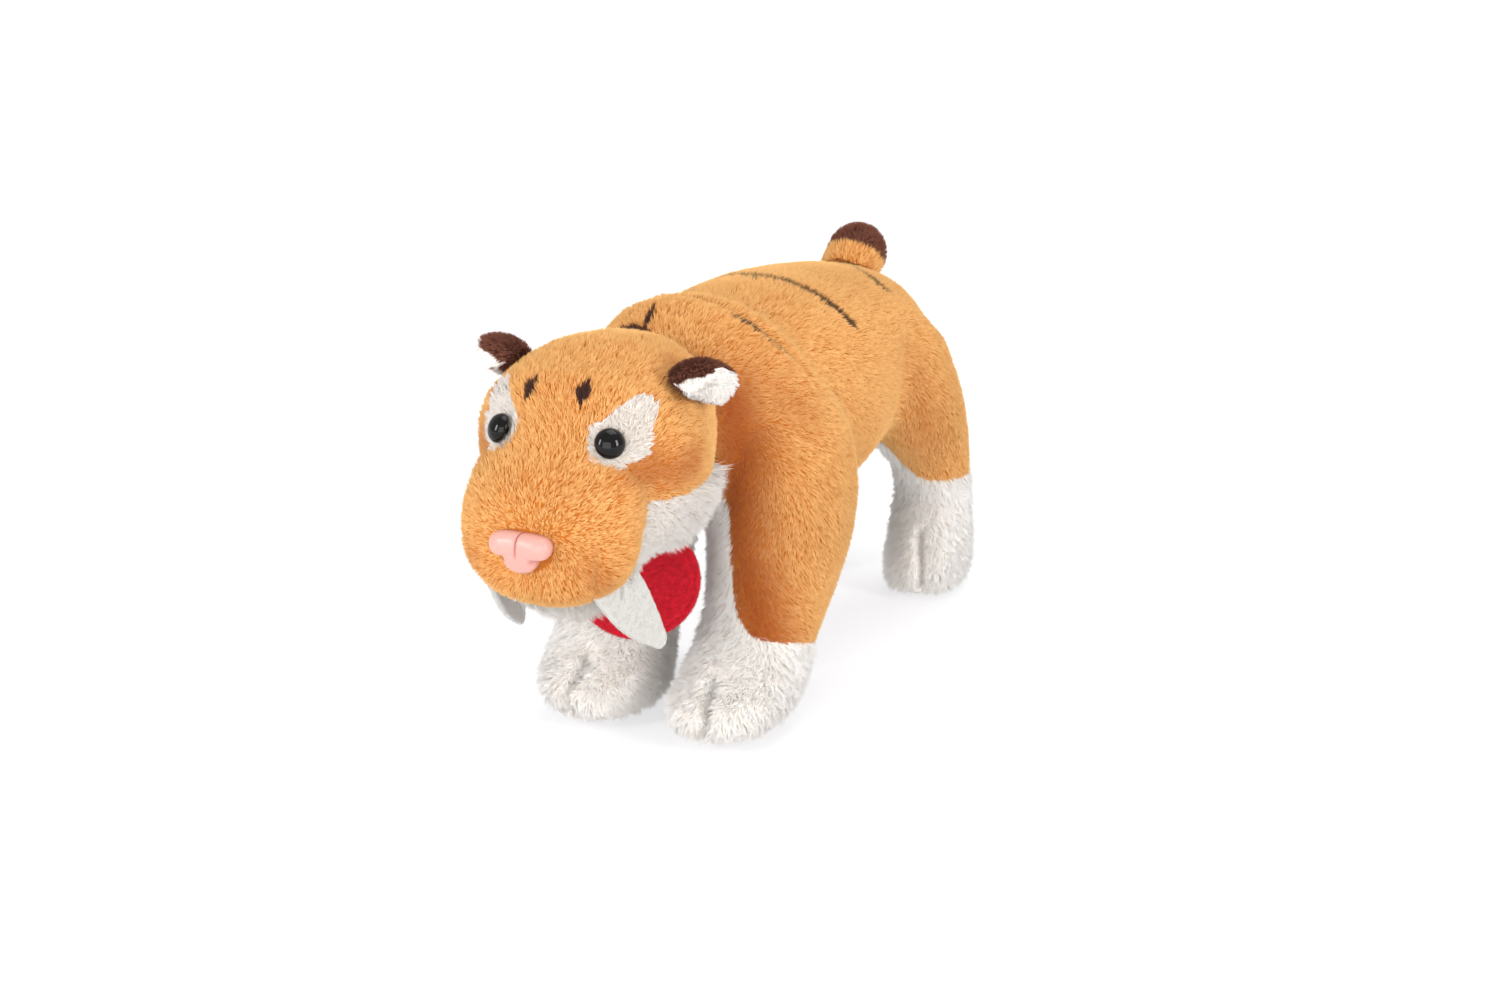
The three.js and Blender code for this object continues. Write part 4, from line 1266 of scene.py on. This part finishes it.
class PLUSH_OT_tag(bpy.types.Operator):
    """Makes the bare felt tag and the thread loop that holds it"""
    bl_idname = "plush.tag"
    bl_label = "Hang tag"

    def execute(self, context):
        tag = context.scene.hang_tag
        red = felt_finish("red felt", tag.felt, (0.62, 0.5, 0.55))
        disc = new_object("felt_tag", self.disc(tag), red)
        hold = riding("tag")
        put_on(disc, hold, "red_felt", "tag")
        fuzz = fuzz_on(disc, "tag_fuzz", hold, red, "red_felt", 0.75 * MM, 9.0)
        self.loop(tag)
        return {"FINISHED"}

    def disc(self, tag):
        """A round of felt, pressed thin at its sewn edge, with the thread's hole."""
        def circle(shape):
            bmesh.ops.create_circle(shape, cap_ends=True, segments=96, radius=tag.radius)

        obj = new_object("felt tag work", drawn("felt_tag", circle))
        thicken = obj.modifiers.new("Solidify", "SOLIDIFY")
        thicken.thickness, thicken.offset = tag.thickness, 0.0
        mesh = remeshed(obj, TAG_VOXEL * MM).data
        bpy.data.objects.remove(obj)
        points = points_of(mesh)
        across = np.hypot(points[:, 0], points[:, 1]) / tag.radius
        press = 1 - 0.35 * bell(across - 0.9, 0.035) - 0.25 * smooth_step(0.95, 1.0, across)
        x, y = points[:, 0], points[:, 1]
        bend = 0.5 * MM * np.sin(x / (9 * MM) + 0.6) + 0.35 * MM * np.sin(y / (7 * MM))
        points[:, 2] = points[:, 2] * press + bend * across
        placed = points[:, 0:1] * TAG_SIDE + points[:, 1:2] * UP + points[:, 2:3] * TAG_FACING + TAG_MIDDLE
        move_points(mesh, placed)
        shade_smooth(mesh)
        return mesh

    def loop(self, tag):
        """Two plies twisted round the loop's own ring."""
        facing, up, side = TAG_FACING, UP, TAG_SIDE
        half = (np.linalg.norm(TAG_HOLE - spot(SEWN_POINT)) + THREAD_AHEAD * MM) / 2
        ahead, high = THREAD_AHEAD * MM, THREAD_HIGH * MM
        rise = high * math.sqrt(1 - ((half - ahead) / half) ** 2)
        middle = TAG_HOLE - facing * (half - ahead) + up * rise
        steps, sides, twists, ply, lay = 240, 8, 26, 0.26 * MM, 0.2 * MM
        turns = np.linspace(0, 2 * math.pi, steps, endpoint=False)
        way = unit(-np.sin(turns)[:, None] * facing * half + np.cos(turns)[:, None] * up * high)
        out = unit(np.cross(way, side))
        centre = middle + np.cos(turns)[:, None] * facing * half + np.sin(turns)[:, None] * up * high
        points, faces = [], []
        for strand in range(2):
            twist = twists * turns + math.pi * strand
            heart = centre + lay * (np.cos(twist)[:, None] * out + np.sin(twist)[:, None] * side)
            for corner in range(sides):
                angle = 2 * math.pi * corner / sides
                points.append(heart + ply * (math.cos(angle) * out + math.sin(angle) * side))
            base = strand * sides * steps
            here, ahead_step = np.arange(steps), (np.arange(steps) + 1) % steps
            for corner in range(sides):
                a, b = base + corner * steps, base + (corner + 1) % sides * steps
                faces.append(np.stack([a + here, a + ahead_step, b + ahead_step], axis=1))
                faces.append(np.stack([a + here, b + ahead_step, b + here], axis=1))
        mesh = mesh_from("thread_loop", np.concatenate(points), np.concatenate(faces))
        finish = Finish("twisted thread", Roughness=0.8, Specular_IOR_Level=0.2, Sheen_Weight=0.2)
        fibres = finish.noise(2500.0)
        deep = colour([0.55 * value for value in tag.thread])
        material = finish.paint(Base_Color=finish.mix(fibres, deep, colour(tag.thread)),
                                Normal=finish.bump(fibres, 0.4, 0.0002))
        loop = new_object("thread_loop", mesh, material)
        put_on(loop, riding("body"), "thread", "tag_thread")


class PLUSH_OT_washers(bpy.types.Operator):
    """Gives the hidden lock washers their moulded plastic"""
    bl_idname = "plush.washers"
    bl_label = "Lock washers"

    def execute(self, context):
        finish = Finish("moulded washer", Specular_IOR_Level=0.4)
        cloud = finish.noise(300.0)
        grey = finish.mix(cloud, (0.70, 0.70, 0.69, 1.0), (0.78, 0.78, 0.77, 1.0))
        material = finish.paint(Base_Color=grey, Roughness=cloud * 0.2 + 0.4)
        for node in ("nose_washer", "left_eye_washer", "right_eye_washer"):
            mesh = frame["nodes"][node].data
            mesh.materials.clear()
            mesh.materials.append(material)
        return {"FINISHED"}


class PLUSH_PT_panel(bpy.types.Panel):
    """Lists the makers of the toy's pieces"""
    bl_idname = "PLUSH_PT_panel"
    bl_label = "Plush cat"
    bl_space_type = "VIEW_3D"
    bl_region_type = "UI"
    bl_category = "Plush cat"

    def draw(self, context):
        for operator in OPERATORS:
            self.layout.operator(operator.bl_idname)
        for group in SETTINGS:
            box = self.layout.box()
            settings = getattr(context.scene, group)
            for name in settings.__annotations__:
                box.prop(settings, name)


OPERATORS = (PLUSH_OT_stage, PLUSH_OT_body, PLUSH_OT_head, PLUSH_OT_tail, PLUSH_OT_ears, PLUSH_OT_eyes,
             PLUSH_OT_nose, PLUSH_OT_teeth, PLUSH_OT_tag, PLUSH_OT_washers)
SETTINGS = {"plush": PlushSettings, "face": FaceSettings, "hang_tag": TagSettings, "stage": StageSettings}


def register():
    for group in (*SETTINGS.values(), *OPERATORS, PLUSH_PT_panel):
        bpy.utils.register_class(group)
    for name, group in SETTINGS.items():
        setattr(bpy.types.Scene, name, bpy.props.PointerProperty(type=group))


def unregister():
    for name in SETTINGS:
        delattr(bpy.types.Scene, name)
    for group in (PLUSH_PT_panel, *reversed(OPERATORS), *reversed(SETTINGS.values())):
        bpy.utils.unregister_class(group)


def main():
    register()
    for operator in OPERATORS:
        family, action = operator.bl_idname.split(".")
        getattr(getattr(bpy.ops, family), action)()


if __name__ == "__main__":
    main()
